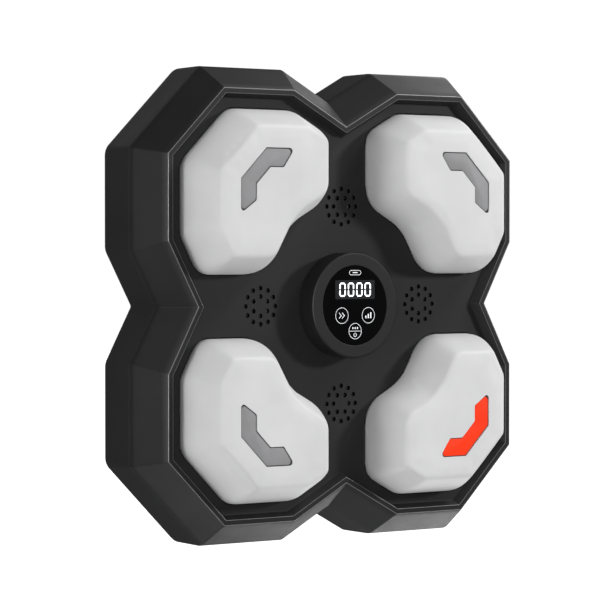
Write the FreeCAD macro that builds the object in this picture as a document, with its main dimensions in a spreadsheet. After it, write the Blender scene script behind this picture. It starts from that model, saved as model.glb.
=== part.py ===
import FreeCAD, Part
import math
import os
import Sketcher

# Wall-mounted boxing machine: a four-lobed housing with four sprung strike pads round a control pod.
# Origin: centre of the flat back face, against the wall. +Z up, -Y towards the boxer.
# "depth" is the distance from the wall, so a point at depth 10 has y = -10.

doc = FreeCAD.newDocument("boxing_machine")
sheet = doc.addObject("Spreadsheet::Sheet", "sheet")

SIZES = [
    # housing outline, in plan, at the crease where the straight wall meets the taper
    ("half_size", 200.0),        # centre to each flat side
    ("notch_depth", 25.4),       # flat side to the bottom of each notch
    ("corner_cut", 69.3),        # cut off each square corner, measured along x + z
    ("notch_slope", 0.543),      # rise over run of the notch flanks
    # taper from the crease to the rim
    ("taper_side", 18.8),
    ("taper_notch", 22.9),
    ("taper_corner", 23.5),
    # depths from the wall
    ("shell_depth", 40.0),
    ("rim_depth", 68.8),
    ("face_sink", 7.8),          # the face lies this far behind the rim
    # walls
    ("wall", 2.6),
    ("floor_thick", 3.0),
    ("face_thick", 3.0),
    ("rim_land", 4.7),           # flat width of the rim
    ("rim_slope", 3.4),          # plan width of the rim's inner slope
    ("corner_round", 12.0),      # upright corners of the back shell
    ("rim_round", 1.2),
    # chassis
    ("battery_clear", 1.1),      # battery to the back face of the plate
    ("chassis_thick", 3.0),
    ("chassis_gap", 9.0),        # plate edge to the shell wall
    # strike pads
    ("pad_margin", 8.9),         # pad base to the foot of the rim
    ("web_half", 26.5),          # half width of the web between two pads
    ("pad_heel", 65.5),          # x = z of the hollow that faces the pod
    ("pad_stand", 39.0),         # pad front above the face
    ("pad_shoulder", 19.0),      # shoulder above the face
    ("shoulder_inset", 3.5),
    ("front_inset", 15.0),
    ("pad_round", 17.0),
    ("pad_round_inner", 28.0),
    ("heel_round", 45.0),
    ("pad_gap", 1.2),            # pad to the edge of its opening
    ("skin", 2.2),
    ("foam_gap", 0.2),
    ("travel", 3.0),
    # pad tray and its guides
    ("flange", 3.5),
    ("tray_thick", 2.5),
    ("stop_gap", 0.3),
    ("post_radius", 4.0),
    ("post_side_in", 39.2),      # pad's outer edge to the side posts
    ("post_web_in", 23.5),       # pad's web edge to the side posts
    ("post_corner_in", 36.2),    # pad's outer edge to the corner post
    ("post_heel_in", 18.5),      # pad's hollow to the heel post
    ("post_clear", 6.0),         # pressed post ends to the shell's floor
    ("guide_fit", 0.08),
    ("sleeve_wall", 2.4),
    ("sleeve_rise", 7.0),
    ("sleeve_drop", 4.0),
    ("spring_wire", 1.2),
    ("spring_clear", 1.4),       # post to the inside of the coil
    ("spring_turns", 4.0),
    # light windows
    ("window_in", 33.8),         # pad's outer edge to the window's outer edge
    ("window_width", 14.6),
    ("window_bend_in", 25.1),    # window's outer edge to where it bends
    ("window_reach", 52.4),      # window's outer edge to its ends
    ("window_lean", 0.7),        # run over rise of the slanted ends
    ("window_gap", 0.4),
    ("window_sink", 0.3),
    ("led_board_thick", 1.6),
    ("led_board_rim", 3.0),
    ("led_height", 1.2),
    ("led_size", 5.0),
    ("led_reach", 14.0),         # window's end to the nearest lamp
    # strike switches
    ("switch_in", 32.5),         # pad's hollow to the switch centre, in x and z
    ("switch_long", 22.0),
    ("switch_wide", 6.4),
    ("switch_tall", 7.0),
    ("pivot_inset", 2.2),
    ("pivot_height", 12.0),      # pivot above the chassis plate
    ("pivot_radius", 0.8),
    ("lever_arm", 14.0),         # pivot to the tray's push boss
    ("lever_thick", 0.8),
    ("lever_wide", 4.0),
    ("push_radius", 1.2),
    ("push_gap", 0.5),
    ("push_tip", 4.0),           # slim end of the push boss
    ("plunger_reach", 5.0),      # pivot to the plunger
    ("plunger_radius", 1.0),
    ("plunger_clear", 0.53),     # plunger to the lever when the pad is fully pressed
    # control pod
    ("pod_radius", 44.7),
    ("pod_stand", 20.0),
    ("pod_wall", 3.0),
    ("pod_round", 1.6),
    ("pod_border", 11.0),        # ring left round the glass
    ("glass_thick", 1.8),
    ("glass_fit", 0.2),
    ("glass_ledge", 3.2),        # width of the ledge under the glass
    ("snap_step", 5.0),          # pod's side to the skirt that passes the face
    ("snap_fit", 0.3),
    ("snap_lip", 1.3),
    ("digits_wide", 41.6),
    ("digits_tall", 16.0),
    ("digits_rise", 13.4),       # digit window's centre above the pod's centre
    ("board_drop", 4.4),         # display board below the pod's front plate
    ("board_thick", 1.6),
    ("board_post_out", 4.5),     # edge of the ledge to the middle of each board post
    ("board_rim", 3.0),          # board posts to the board's edge
    ("board_post_radius", 2.5),
    ("board_pilot", 0.9),
    ("board_pilot_deep", 4.0),
    ("port_wide", 9.8),
    ("port_tall", 4.0),
    ("port_drop", 1.7),          # middle of the port behind the display board
    ("socket_wide", 9.0),
    ("socket_tall", 3.4),
    ("socket_lip", 0.35),
    ("key_drop", 7.9),           # side keys below the pod's centre
    ("key_side", 14.0),
    ("key_low", 21.6),           # bottom key below the pod's centre
    # speakers and grilles
    ("speaker_reach", 84.0),
    ("speaker_gap", 4.0),        # speaker frame to the trays on both sides
    ("speaker_height", 15.0),
    ("speaker_frame", 1.5),
    ("magnet_radius", 10.0),
    ("grille_outer", 15.1),
    ("grille_inner", 8.1),
    ("grille_hole", 2.0),
    # screw posts
    ("case_seat", 30.0),         # depth where the shell's posts meet the bezel's
    ("case_corner_in", 50.0),    # flat sides to the corner screws
    ("case_notch_in", 35.6),     # bottom of each notch to the screw behind it
    ("case_post", 4.5),
    ("case_pilot", 14.0),
    ("case_head_web", 5.0),      # plastic left under each screw head
    ("case_screw", 1.5),
    ("case_head", 3.0),
    ("chassis_post_off", 60.0),
    ("chassis_post_in", 48.0),   # flat sides to the plate's posts
    ("chassis_pilot", 12.0),
    # battery and main board
    ("cell_radius", 9.2),
    ("cell_long", 66.0),
    ("battery_z", -38.0),
    ("cradle_floor", 1.5),
    ("cradle_room", 1.0),        # cells to the cradle's walls
    ("cradle_wall", 2.0),
    ("mainboard_x", 84.0),
    ("mainboard_z", 54.0),
    ("mainboard_post", 2.0),
    ("mainboard_hole_in", 4.0),
    ("spacer_radius", 3.5),
    ("spacer_pilot", 1.2),
    ("spacer_hole", 1.4),
    # wall hangers
    ("hanger_x", 60.0),
    ("hanger_z", 118.0),
    ("hanger_entry", 5.0),
    ("hanger_neck", 2.5),
    ("hanger_slot", 9.0),
    # lead wires
    ("lead_radius", 0.8),
    ("lead_reach", 17.0),        # battery end to the lead's way through the chassis plate
    ("lead_hole", 5.0),
]
for row, (alias, number) in enumerate(SIZES, start=1):
    sheet.set("A%d" % row, alias)
    sheet.set("B%d" % row, str(number))
    sheet.setAlias("B%d" % row, alias)
doc.recompute()


class Dim:
    """A length that carries its value and the sheet expression it comes from."""

    def __init__(self, number, text=None):
        self.number = float(number)
        self.text = text if text is not None else repr(float(number))

    def __add__(self, other):
        other = as_dim(other)
        return Dim(self.number + other.number, "(%s + %s)" % (self.text, other.text))

    def __sub__(self, other):
        other = as_dim(other)
        return Dim(self.number - other.number, "(%s - %s)" % (self.text, other.text))

    def __mul__(self, other):
        other = as_dim(other)
        return Dim(self.number * other.number, "(%s * %s)" % (self.text, other.text))

    def __truediv__(self, other):
        other = as_dim(other)
        return Dim(self.number / other.number, "(%s / %s)" % (self.text, other.text))

    def __neg__(self):
        return Dim(-self.number, "(-1 * %s)" % self.text)

    __radd__ = __add__


def as_dim(value):
    return value if isinstance(value, Dim) else Dim(value)


class Sizes:
    """Every sheet cell as a Dim, by its alias."""

    def __init__(self):
        for alias, _ in SIZES:
            setattr(self, alias, Dim(sheet.get(alias), "sheet." + alias))


S = Sizes()

# lengths along the notch flank and the 45 degree corner for one unit of inward offset
FLANK = Dim(math.sqrt(1 + S.notch_slope.number ** 2), "sqrt(1 + sheet.notch_slope ^ 2)")
DIAGONAL = Dim(math.sqrt(2), "sqrt(2)")
TIP_FLANK = Dim(math.sqrt(1 + S.window_lean.number ** 2), "sqrt(1 + sheet.window_lean ^ 2)")

notch_reach = S.half_size - S.notch_depth
corner_reach = S.half_size * 2 - S.corner_cut
chassis_depth = S.floor_thick + S.cradle_floor + S.cell_radius * 2 + S.battery_clear
face_depth = S.rim_depth - S.face_sink
face_back = face_depth - S.face_thick
tray_front = face_back - S.stop_gap
tray_back = tray_front - S.tray_thick
pad_front = face_depth + S.pad_stand
chassis_front = chassis_depth + S.chassis_thick
sleeve_top = chassis_front + S.sleeve_rise
pod_front = face_depth + S.pod_stand
pod_plate_back = pod_front - S.pod_wall
board_front = pod_plate_back - S.board_drop
board_back = board_front - S.board_thick
post_end = S.floor_thick + S.travel + S.post_clear
pad_edge = S.half_size - S.taper_side - S.rim_land - S.rim_slope - S.pad_margin
post_side = pad_edge - S.post_side_in
post_near = S.web_half + S.post_web_in
post_corner = pad_edge - S.post_corner_in
post_heel = S.pad_heel + S.post_heel_in
window_outer = pad_edge - S.window_in
window_bend = window_outer - S.window_bend_in
window_end = window_outer - S.window_reach
switch_spot = S.pad_heel + S.switch_in
glass_radius = S.pod_radius - S.pod_border
pod_window = glass_radius - S.glass_ledge
snap_radius = S.pod_radius - S.snap_step
board_post = pod_window + S.board_post_out
board_radius = board_post + S.board_rim
speaker_radius = S.web_half - S.flange - S.speaker_gap
case_corner = S.half_size - S.case_corner_in
case_notch = notch_reach - S.case_notch_in
chassis_post_b = S.half_size - S.chassis_post_in
port_depth = board_back - S.port_drop
QUARTERS = [("tr", 0), ("br", 90), ("bl", 180), ("tl", 270)]
SIDES = [("top", 0), ("right", 90), ("bottom", 180), ("left", 270)]
nodes = []


def turned(angle):
    return FreeCAD.Placement(FreeCAD.Vector(0, 0, 0), FreeCAD.Rotation(FreeCAD.Vector(0, 1, 0), angle))


def new_body(label, angle=0):
    body = doc.addObject("PartDesign::Body", label)
    body.Label = label
    body.Placement = turned(angle)
    return body


def keep(item):
    nodes.append(item)
    return item


def new_sketch(body, offset, plane="XZ_Plane"):
    """A sketch parallel to an origin plane. On XZ, offset is the depth from the wall."""
    sketch = body.newObject("Sketcher::SketchObject", body.Label + "_sketch")
    base = [o for o in body.Origin.OriginFeatures if o.Role == plane][0]
    sketch.AttachmentSupport = [(base, "")]
    sketch.MapMode = "FlatFace"
    offset = as_dim(offset)
    sketch.AttachmentOffset = FreeCAD.Placement(
        FreeCAD.Vector(0, 0, offset.number), FreeCAD.Rotation())
    sketch.setExpression("AttachmentOffset.Base.z", offset.text)
    return sketch


def pin_point(sketch, geo, pos, x, z):
    """Fix one sketch point at (x, z) from the origin, bound to the sheet."""
    for kind, axis, value in (("DistanceX", -2, as_dim(x)), ("DistanceY", -1, as_dim(z))):
        if abs(value.number) < 1e-9:
            sketch.addConstraint(Sketcher.Constraint("PointOnObject", geo, pos, axis))
        elif value.number > 0:
            index = sketch.addConstraint(Sketcher.Constraint(kind, -1, 1, geo, pos, value.number))
            sketch.setExpression("Constraints[%d]" % index, value.text)
        else:
            index = sketch.addConstraint(Sketcher.Constraint(kind, geo, pos, -1, 1, -value.number))
            sketch.setExpression("Constraints[%d]" % index, (-value).text)


def add_circle(sketch, x, z, radius):
    x, z, radius = as_dim(x), as_dim(z), as_dim(radius)
    centre = FreeCAD.Vector(x.number, z.number, 0)
    geo = sketch.addGeometry(Part.Circle(centre, FreeCAD.Vector(0, 0, 1), radius.number), False)
    pin_point(sketch, geo, 3, x, z)
    index = sketch.addConstraint(Sketcher.Constraint("Radius", geo, radius.number))
    sketch.setExpression("Constraints[%d]" % index, radius.text)


def add_outline(sketch, points):
    """A closed outline of straight edges through sheet-bound corners."""
    spots = [FreeCAD.Vector(as_dim(x).number, as_dim(z).number, 0) for x, z in points]
    count = len(spots)
    lines = []
    for k in range(count):
        lines.append(sketch.addGeometry(Part.LineSegment(spots[k], spots[(k + 1) % count]), False))
    for k in range(count):
        joint = Sketcher.Constraint("Coincident", lines[k], 2, lines[(k + 1) % count], 1)
        sketch.addConstraint(joint)
    for k in range(count):
        pin_point(sketch, lines[k], 1, points[k][0], points[k][1])


def add_round_outline(sketch, points, radii):
    """A closed outline whose corners are tangent arcs. Each corner stays bound to the sheet."""
    spots = [FreeCAD.Vector(as_dim(x).number, as_dim(z).number, 0) for x, z in points]
    count = len(spots)
    starts, ends, arcs = [], [], []
    for k in range(count):
        corner = spots[k]
        back = (spots[k - 1] - corner).normalize()
        ahead = (spots[(k + 1) % count] - corner).normalize()
        half = math.acos(max(-1.0, min(1.0, back.dot(ahead)))) / 2
        reach = as_dim(radii[k]).number / math.tan(half)
        starts.append(corner + back * reach)
        ends.append(corner + ahead * reach)
        middle = (back + ahead).normalize()
        centre = corner + middle * (as_dim(radii[k]).number / math.sin(half))
        arcs.append(Part.Arc(starts[k], centre - middle * as_dim(radii[k]).number, ends[k]))
    line_geo, arc_geo, corner_geo, swapped = [], [], [], []
    for k in range(count):
        line_geo.append(sketch.addGeometry(Part.LineSegment(ends[k], starts[(k + 1) % count]), False))
    for k in range(count):
        geo = sketch.addGeometry(arcs[k], False)
        arc_geo.append(geo)
        swapped.append(sketch.getPoint(geo, 1).distanceToPoint(starts[k]) > 1e-6)
    for k in range(count):
        corner_geo.append(sketch.addGeometry(Part.Point(spots[k]), True))
    for k in range(count):
        pin_point(sketch, corner_geo[k], 1, points[k][0], points[k][1])
        sketch.addConstraint(Sketcher.Constraint("PointOnObject", corner_geo[k], 1, line_geo[k]))
        sketch.addConstraint(Sketcher.Constraint("PointOnObject", corner_geo[k], 1, line_geo[k - 1]))
        first, last = (2, 1) if swapped[k] else (1, 2)
        sketch.addConstraint(Sketcher.Constraint("Tangent", line_geo[k - 1], 2, arc_geo[k], first))
        sketch.addConstraint(Sketcher.Constraint("Tangent", arc_geo[k], last, line_geo[k], 1))
        index = sketch.addConstraint(
            Sketcher.Constraint("Radius", arc_geo[k], as_dim(radii[k]).number))
        sketch.setExpression("Constraints[%d]" % index, as_dim(radii[k]).text)


def add_box(sketch, x, z, wide, tall):
    x, z, wide, tall = as_dim(x), as_dim(z), as_dim(wide), as_dim(tall)
    add_outline(sketch, [
        (x - wide / 2, z - tall / 2), (x + wide / 2, z - tall / 2),
        (x + wide / 2, z + tall / 2), (x - wide / 2, z + tall / 2)])


def bind(feature, name, value):
    value = as_dim(value)
    setattr(feature, name, value.number)
    feature.setExpression(name, value.text)


def slope_angle(inset, height):
    """Angle of a wall that leans in by inset over height."""
    inset, height = as_dim(inset), as_dim(height)
    return Dim(math.degrees(math.atan(inset.number / height.number)),
               "atan(%s / %s)" % (inset.text, height.text))


def pad_up(body, sketch, length, lean=None):
    """Raise a sketch towards the boxer. lean is the angle at which its walls close in."""
    feature = body.newObject("PartDesign::Pad", body.Label + "_pad")
    feature.Profile = sketch
    bind(feature, "Length", length)
    if lean is not None:
        bind(feature, "TaperAngle", -lean)
    sketch.Visibility = False
    return feature


def cut_back(body, sketch, length):
    """Cut from a sketch's plane towards the wall."""
    feature = body.newObject("PartDesign::Pocket", body.Label + "_pocket")
    feature.Profile = sketch
    bind(feature, "Length", length)
    sketch.Visibility = False
    return feature


def loft(body, kind, sketches):
    feature = body.newObject("PartDesign::%sLoft" % kind, body.Label + "_loft")
    feature.Profile = sketches[0]
    feature.Sections = sketches[1:]
    feature.Ruled = True
    return feature


def round_edges(body, base, chosen, radius):
    """Fillet the edges of a feature that the test picks."""
    doc.recompute()
    names = ["Edge%d" % (k + 1) for k, edge in enumerate(base.Shape.Edges) if chosen(edge)]
    feature = body.newObject("PartDesign::Fillet", body.Label + "_fillet")
    feature.Base = (base, names)
    bind(feature, "Radius", radius)
    return feature


def disc_stack(body, steps):
    """Coaxial discs on the housing's axis: (x, z, radius, start depth, height)."""
    for x, z, radius, start, height in steps:
        sketch = new_sketch(body, start)
        add_circle(sketch, x, z, radius)
        pad_up(body, sketch, height)


# ---------------------------------------------------------------- outlines

def housing_outline(inset, side=0, notch=0, corner=0):
    """The four-lobed outline, moved in by inset after its own side, notch and corner steps."""
    inset = as_dim(inset)
    half = S.half_size - side - inset
    low = notch_reach - notch - inset * FLANK
    diag = corner_reach - corner - inset * DIAGONAL
    near = (half - low) / S.notch_slope
    far = diag - half
    zero = Dim(0.0)
    quarter = [(zero, low), (near, half), (far, half), (half, far), (half, near)]
    points = []
    for turn in range(4):
        for x, z in quarter:
            for _ in range(turn):
                x, z = z, -x
            points.append((x, z))
    return points


def rim_outline(inset):
    return housing_outline(inset, S.taper_side, S.taper_notch, S.taper_corner)


def part_way_outline(depth, inset):
    """The tapered shell's outline at one depth."""
    share = (depth - S.shell_depth) / (S.rim_depth - S.shell_depth)
    return housing_outline(inset, S.taper_side * share, S.taper_notch * share, S.taper_corner * share)


def pad_outline(grow):
    """Outline of the upper right pad's base, moved out by grow."""
    grow = as_dim(grow)
    step = S.rim_land + S.rim_slope + S.pad_margin - grow
    out = S.half_size - S.taper_side - step
    line = notch_reach - S.taper_notch - step * FLANK
    diag = corner_reach - S.taper_corner - step * DIAGONAL
    web = S.web_half - grow
    heel = S.pad_heel - grow * FLANK / (S.notch_slope + 1)
    top = line + web * S.notch_slope
    knee = heel + (heel - web) * S.notch_slope
    near = (out - line) / S.notch_slope
    points = [
        (web, top), (near, out), (diag - out, out), (out, diag - out), (out, near),
        (top, web), (knee, web), (heel, heel), (web, knee)]
    radii = [S.pad_round + grow] * 6 + [S.pad_round_inner + grow, S.heel_round - grow,
                                        S.pad_round_inner + grow]
    return points, radii


def window_outline(grow):
    """Bent light window in the pad's outer corner, moved out by grow."""
    grow = as_dim(grow)
    outer = window_outer + grow
    inner = window_outer - S.window_width - grow
    bend = window_bend + grow * (DIAGONAL - 1)
    inner_bend = bend - (outer - inner) * (DIAGONAL - 1)
    tip = window_end - grow * (TIP_FLANK + S.window_lean)
    heel = window_end + S.window_width * S.window_lean - grow * (TIP_FLANK - S.window_lean)
    return [(tip, outer), (bend, outer), (outer, bend), (outer, tip),
            (inner, heel), (inner, inner_bend), (inner_bend, inner), (heel, inner)]


def turned_points(points, turn):
    out = []
    for x, z in points:
        for _ in range(turn):
            x, z = z, -x
        out.append((x, z))
    return out


def guide_spots():
    """The four guide posts of the upper right pad."""
    return [(post_near, post_side), (post_side, post_near),
            (post_corner, post_corner), (post_heel, post_heel)]


def case_spots():
    """Case screws: one in each lobe's corner and one behind each notch."""
    spots = []
    for turn in range(4):
        spots += turned_points([(case_corner, case_corner), (Dim(0.0), case_notch)], turn)
    return spots


def chassis_spots():
    spots = []
    for turn in range(4):
        spots += turned_points([(S.chassis_post_off, chassis_post_b),
                                (chassis_post_b, S.chassis_post_off)], turn)
    return spots


def mainboard_spots():
    x = S.mainboard_x / 2 - S.mainboard_hole_in
    z = S.mainboard_z / 2 - S.mainboard_hole_in
    return [(x, z), (x, -z), (-x, -z), (-x, z)]


# ---------------------------------------------------------------- housing

def is_upright(edge):
    """A straight edge square to the wall."""
    first, last = edge.Vertexes[0].Point, edge.Vertexes[-1].Point
    return abs(first.x - last.x) < 1e-6 and abs(first.z - last.z) < 1e-6 and first != last


def make_back_shell():
    body = new_body("back_shell")
    outer = new_sketch(body, 0)
    add_outline(outer, housing_outline(0))
    walls = pad_up(body, outer, S.shell_depth)
    notch_limit = notch_reach.number + 1

    def lobe_corner(edge):
        spot = edge.Vertexes[0].Point
        return is_upright(edge) and max(abs(spot.x), abs(spot.z)) > notch_limit

    round_edges(body, walls, lobe_corner, S.corner_round)
    hollow = new_sketch(body, S.shell_depth)
    add_outline(hollow, housing_outline(S.wall))
    cut_back(body, hollow, S.shell_depth - S.floor_thick)
    posts = new_sketch(body, S.floor_thick)
    for x, z in case_spots():
        add_circle(posts, x, z, S.case_post)
    pad_up(body, posts, S.case_seat - S.floor_thick)
    plate_posts = new_sketch(body, S.floor_thick)
    for x, z in chassis_spots():
        add_circle(plate_posts, x, z, S.case_post)
    pad_up(body, plate_posts, chassis_depth - S.floor_thick)
    bores = new_sketch(body, S.case_seat)
    for x, z in case_spots():
        add_circle(bores, x, z, S.case_screw + S.glass_fit)
    cut_back(body, bores, S.case_seat)
    heads = new_sketch(body, S.case_seat - S.case_head_web)
    for x, z in case_spots():
        add_circle(heads, x, z, S.case_head + S.glass_fit)
    cut_back(body, heads, S.case_seat - S.case_head_web)
    pilots = new_sketch(body, chassis_depth)
    for x, z in chassis_spots():
        add_circle(pilots, x, z, S.case_screw)
    cut_back(body, pilots, S.chassis_pilot)
    entries = new_sketch(body, S.floor_thick)
    for side in (-1, 1):
        add_circle(entries, S.hanger_x * side, S.hanger_z, S.hanger_entry)
    cut_back(body, entries, S.floor_thick)
    necks = new_sketch(body, S.floor_thick)
    for side in (-1, 1):
        add_box(necks, S.hanger_x * side, S.hanger_z + S.hanger_slot / 2, S.hanger_neck * 2, S.hanger_slot)
    cut_back(body, necks, S.floor_thick)
    ends = new_sketch(body, S.floor_thick)
    for side in (-1, 1):
        add_circle(ends, S.hanger_x * side, S.hanger_z + S.hanger_slot, S.hanger_neck)
    cut_back(body, ends, S.floor_thick)
    keep(body)


def make_front_bezel():
    body = new_body("front_bezel")
    foot = new_sketch(body, S.shell_depth)
    add_outline(foot, housing_outline(0))
    top = new_sketch(body, S.rim_depth)
    add_outline(top, rim_outline(0))
    loft(body, "Additive", [foot, top])
    # hollow underside, up to the back of the rim
    rim_under = S.rim_depth - S.wall
    low = new_sketch(body, S.shell_depth)
    add_outline(low, housing_outline(S.wall))
    high = new_sketch(body, rim_under)
    add_outline(high, part_way_outline(rim_under, S.wall))
    loft(body, "Subtractive", [low, high])
    # the tub that carries the sunk face
    tub = new_sketch(body, face_back)
    add_outline(tub, rim_outline(S.rim_land + S.rim_slope - S.wall))
    pad_up(body, tub, S.rim_depth - face_back)
    mouth = new_sketch(body, S.rim_depth)
    add_outline(mouth, rim_outline(S.rim_land))
    base = new_sketch(body, face_depth)
    add_outline(base, rim_outline(S.rim_land + S.rim_slope))
    loft(body, "Subtractive", [mouth, base])
    # screw posts
    posts = new_sketch(body, S.case_seat)
    for x, z in case_spots():
        add_circle(posts, x, z, S.case_post)
    pad_up(body, posts, face_back + S.face_thick / 3 - S.case_seat)
    pilots = new_sketch(body, S.case_seat + S.case_pilot)
    for x, z in case_spots():
        add_circle(pilots, x, z, S.case_screw)
    cut_back(body, pilots, S.case_pilot)
    # openings
    for turn in range(4):
        opening = new_sketch(body, face_depth)
        points, radii = pad_outline(S.pad_gap)
        add_round_outline(opening, turned_points(points, turn), radii)
        cut_back(body, opening, S.face_thick)
    pod_hole = new_sketch(body, face_depth)
    add_circle(pod_hole, 0, 0, snap_radius + S.snap_fit)
    cut_back(body, pod_hole, S.face_thick)
    grilles = new_sketch(body, face_depth)
    for turn in range(4):
        centre = turned_points([(Dim(0.0), S.speaker_reach)], turn)[0]
        for ring, count in ((S.grille_outer, 12), (S.grille_inner, 6)):
            for k in range(count):
                angle = math.radians(360.0 * k / count + 90 * turn)
                add_circle(grilles, centre[0] + ring * round(math.cos(angle), 9),
                           centre[1] + ring * round(math.sin(angle), 9), S.grille_hole)
    last = cut_back(body, grilles, S.face_thick)

    def on_rim_edge(edge):
        ends = [v.Point for v in edge.Vertexes]
        flat = all(abs(p.y + S.rim_depth.number) < 1e-6 for p in ends)
        limit = S.half_size.number - S.taper_side.number
        low_limit = notch_reach.number - S.taper_notch.number
        outer = [abs(max(abs(p.x), abs(p.z)) - limit) < 1e-6
                 or abs(max(abs(p.x), abs(p.z)) - low_limit) < 1e-6 for p in ends]
        return flat and all(outer)

    round_edges(body, last, on_rim_edge, S.rim_round)
    keep(body)


def make_chassis_plate():
    body = new_body("chassis_plate")
    plate = new_sketch(body, chassis_depth)
    add_outline(plate, housing_outline(S.wall + S.chassis_gap))
    for x, z in case_spots():
        add_circle(plate, x, z, S.case_post + 1)
    pad_up(body, plate, S.chassis_thick)
    sleeves = new_sketch(body, chassis_depth - S.sleeve_drop)
    bore = S.post_radius + S.guide_fit
    for turn in range(4):
        for x, z in turned_points(guide_spots(), turn):
            add_circle(sleeves, x, z, bore + S.sleeve_wall)
    pad_up(body, sleeves, S.sleeve_drop + S.chassis_thick + S.sleeve_rise)
    spacers = new_sketch(body, chassis_front)
    for x, z in mainboard_spots():
        add_circle(spacers, x, z, S.spacer_radius)
    pad_up(body, spacers, S.mainboard_post)
    bores = new_sketch(body, sleeve_top)
    for turn in range(4):
        for x, z in turned_points(guide_spots(), turn):
            add_circle(bores, x, z, bore)
    cut_back(body, bores, S.sleeve_rise + S.chassis_thick + S.sleeve_drop)
    holes = new_sketch(body, chassis_front)
    for x, z in chassis_spots():
        add_circle(holes, x, z, S.case_screw + S.glass_fit)
    add_circle(holes, S.cell_long / 2 + S.lead_reach, S.battery_z, S.lead_hole)
    cut_back(body, holes, S.chassis_thick)
    pilots = new_sketch(body, chassis_front + S.mainboard_post)
    for x, z in mainboard_spots():
        add_circle(pilots, x, z, S.spacer_pilot)
    cut_back(body, pilots, S.mainboard_post + S.chassis_thick)
    keep(body)


def make_screws(label, spots, radius, head, seat, shank, head_height, faces_wall):
    """A group of pan-head screws. seat is the depth under the head."""
    screws = []
    for k, (x, z) in enumerate(spots):
        body = new_body("%s_%d" % (label, k + 1))
        if faces_wall:
            disc_stack(body, [(x, z, head, seat - head_height, head_height), (x, z, radius, seat, shank)])
        else:
            disc_stack(body, [(x, z, radius, seat - shank, shank), (x, z, head, seat, head_height)])
        screws.append(body)
    doc.recompute()
    group = doc.addObject("Part::Compound", label)
    group.Label = label
    group.Links = screws
    keep(group)


# ---------------------------------------------------------------- strike pads

def pad_form(label, angle, inset, top_inset, start):
    """The pad's faceted form: a steep base, a shoulder and a flat front, all moved in by inset."""
    body = new_body(label, angle)
    base = new_sketch(body, start)
    points, radii = pad_outline(-as_dim(inset))
    add_round_outline(base, points, radii)
    lower = face_depth + S.pad_shoulder - start
    pad_up(body, base, lower, slope_angle(S.shoulder_inset, lower))
    top = new_sketch(body, face_depth + S.pad_shoulder)
    points, radii = pad_outline(-(as_dim(inset) + S.shoulder_inset))
    add_round_outline(top, points, radii)
    upper = S.pad_stand - S.pad_shoulder
    lean = slope_angle(S.front_inset - S.shoulder_inset, upper)
    pad_up(body, top, upper - top_inset, lean)
    return body


def cut_window(body, grow, start, length):
    window = new_sketch(body, start)
    add_outline(window, window_outline(grow))
    return cut_back(body, window, length)


def make_pad(name, angle):
    # soft cover: outer form less an inner form
    outer = pad_form("pad_cover_%s_form" % name, angle, 0, 0, tray_front)
    cut_window(outer, S.window_gap, pad_front, pad_front - tray_front)
    core = pad_form("pad_cover_%s_core" % name, angle, S.skin, S.skin, tray_front)
    cover = doc.addObject("Part::Cut", "pad_cover_" + name)
    cover.Label = "pad_cover_" + name
    cover.Base = outer
    cover.Tool = core
    keep(cover)
    # foam block with a well for the light guide and its board
    foam = pad_form("pad_foam_" + name, angle, S.skin + S.foam_gap, S.skin + S.foam_gap, tray_front)
    cut_window(foam, S.window_gap, pad_front, pad_front - tray_front)
    well_top = tray_front + S.led_board_thick + S.led_height + 1
    cut_window(foam, S.led_board_rim + S.window_gap, well_top, well_top - tray_front)
    keep(foam)
    # light board on the tray, with its lamps
    board = new_body("led_board_" + name, angle)
    plate = new_sketch(board, tray_front)
    add_outline(plate, window_outline(S.led_board_rim))
    pad_up(board, plate, S.led_board_thick)
    lamps = new_sketch(board, tray_front + S.led_board_thick)
    mid = window_outer - S.window_width / 2
    middle = (window_bend + window_outer) / 2 - S.window_width / 2 * 0.7
    first = window_end + S.led_reach
    for x, z in ((first, mid), (mid, first), (middle, middle)):
        add_box(lamps, x, z, S.led_size, S.led_size)
    pad_up(board, lamps, S.led_height)
    keep(board)
    # light guide, from just above the lamps to the pad's front
    guide = new_body("light_guide_" + name, angle)
    start = tray_front + S.led_board_thick + S.led_height
    bar = new_sketch(guide, start)
    add_outline(bar, window_outline(0))
    pad_up(guide, bar, pad_front - S.window_sink - start)
    keep(guide)
    # tray: flange behind the bezel, four guide posts and a push boss
    tray = new_body("pad_tray_" + name, angle)
    base = new_sketch(tray, tray_back)
    points, radii = pad_outline(S.flange)
    add_round_outline(base, points, radii)
    pad_up(tray, base, S.tray_thick)
    posts = new_sketch(tray, post_end)
    for x, z in guide_spots():
        add_circle(posts, x, z, S.post_radius)
    pad_up(tray, posts, tray_back - post_end)
    boss = new_sketch(tray, push_depth)
    add_circle(boss, push_x, switch_spot, S.push_radius)
    pad_up(tray, boss, tray_back - push_depth)
    stem = new_sketch(tray, push_depth + S.push_tip)
    add_circle(stem, push_x, switch_spot, S.push_radius * 2.5)
    pad_up(tray, stem, tray_back - push_depth - S.push_tip)
    keep(tray)


pivot_depth = chassis_front + S.pivot_height
pivot_x = switch_spot - S.switch_long / 2 + S.pivot_inset
push_x = pivot_x + S.lever_arm
push_depth = pivot_depth + S.lever_thick / 2 + S.push_gap


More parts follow.
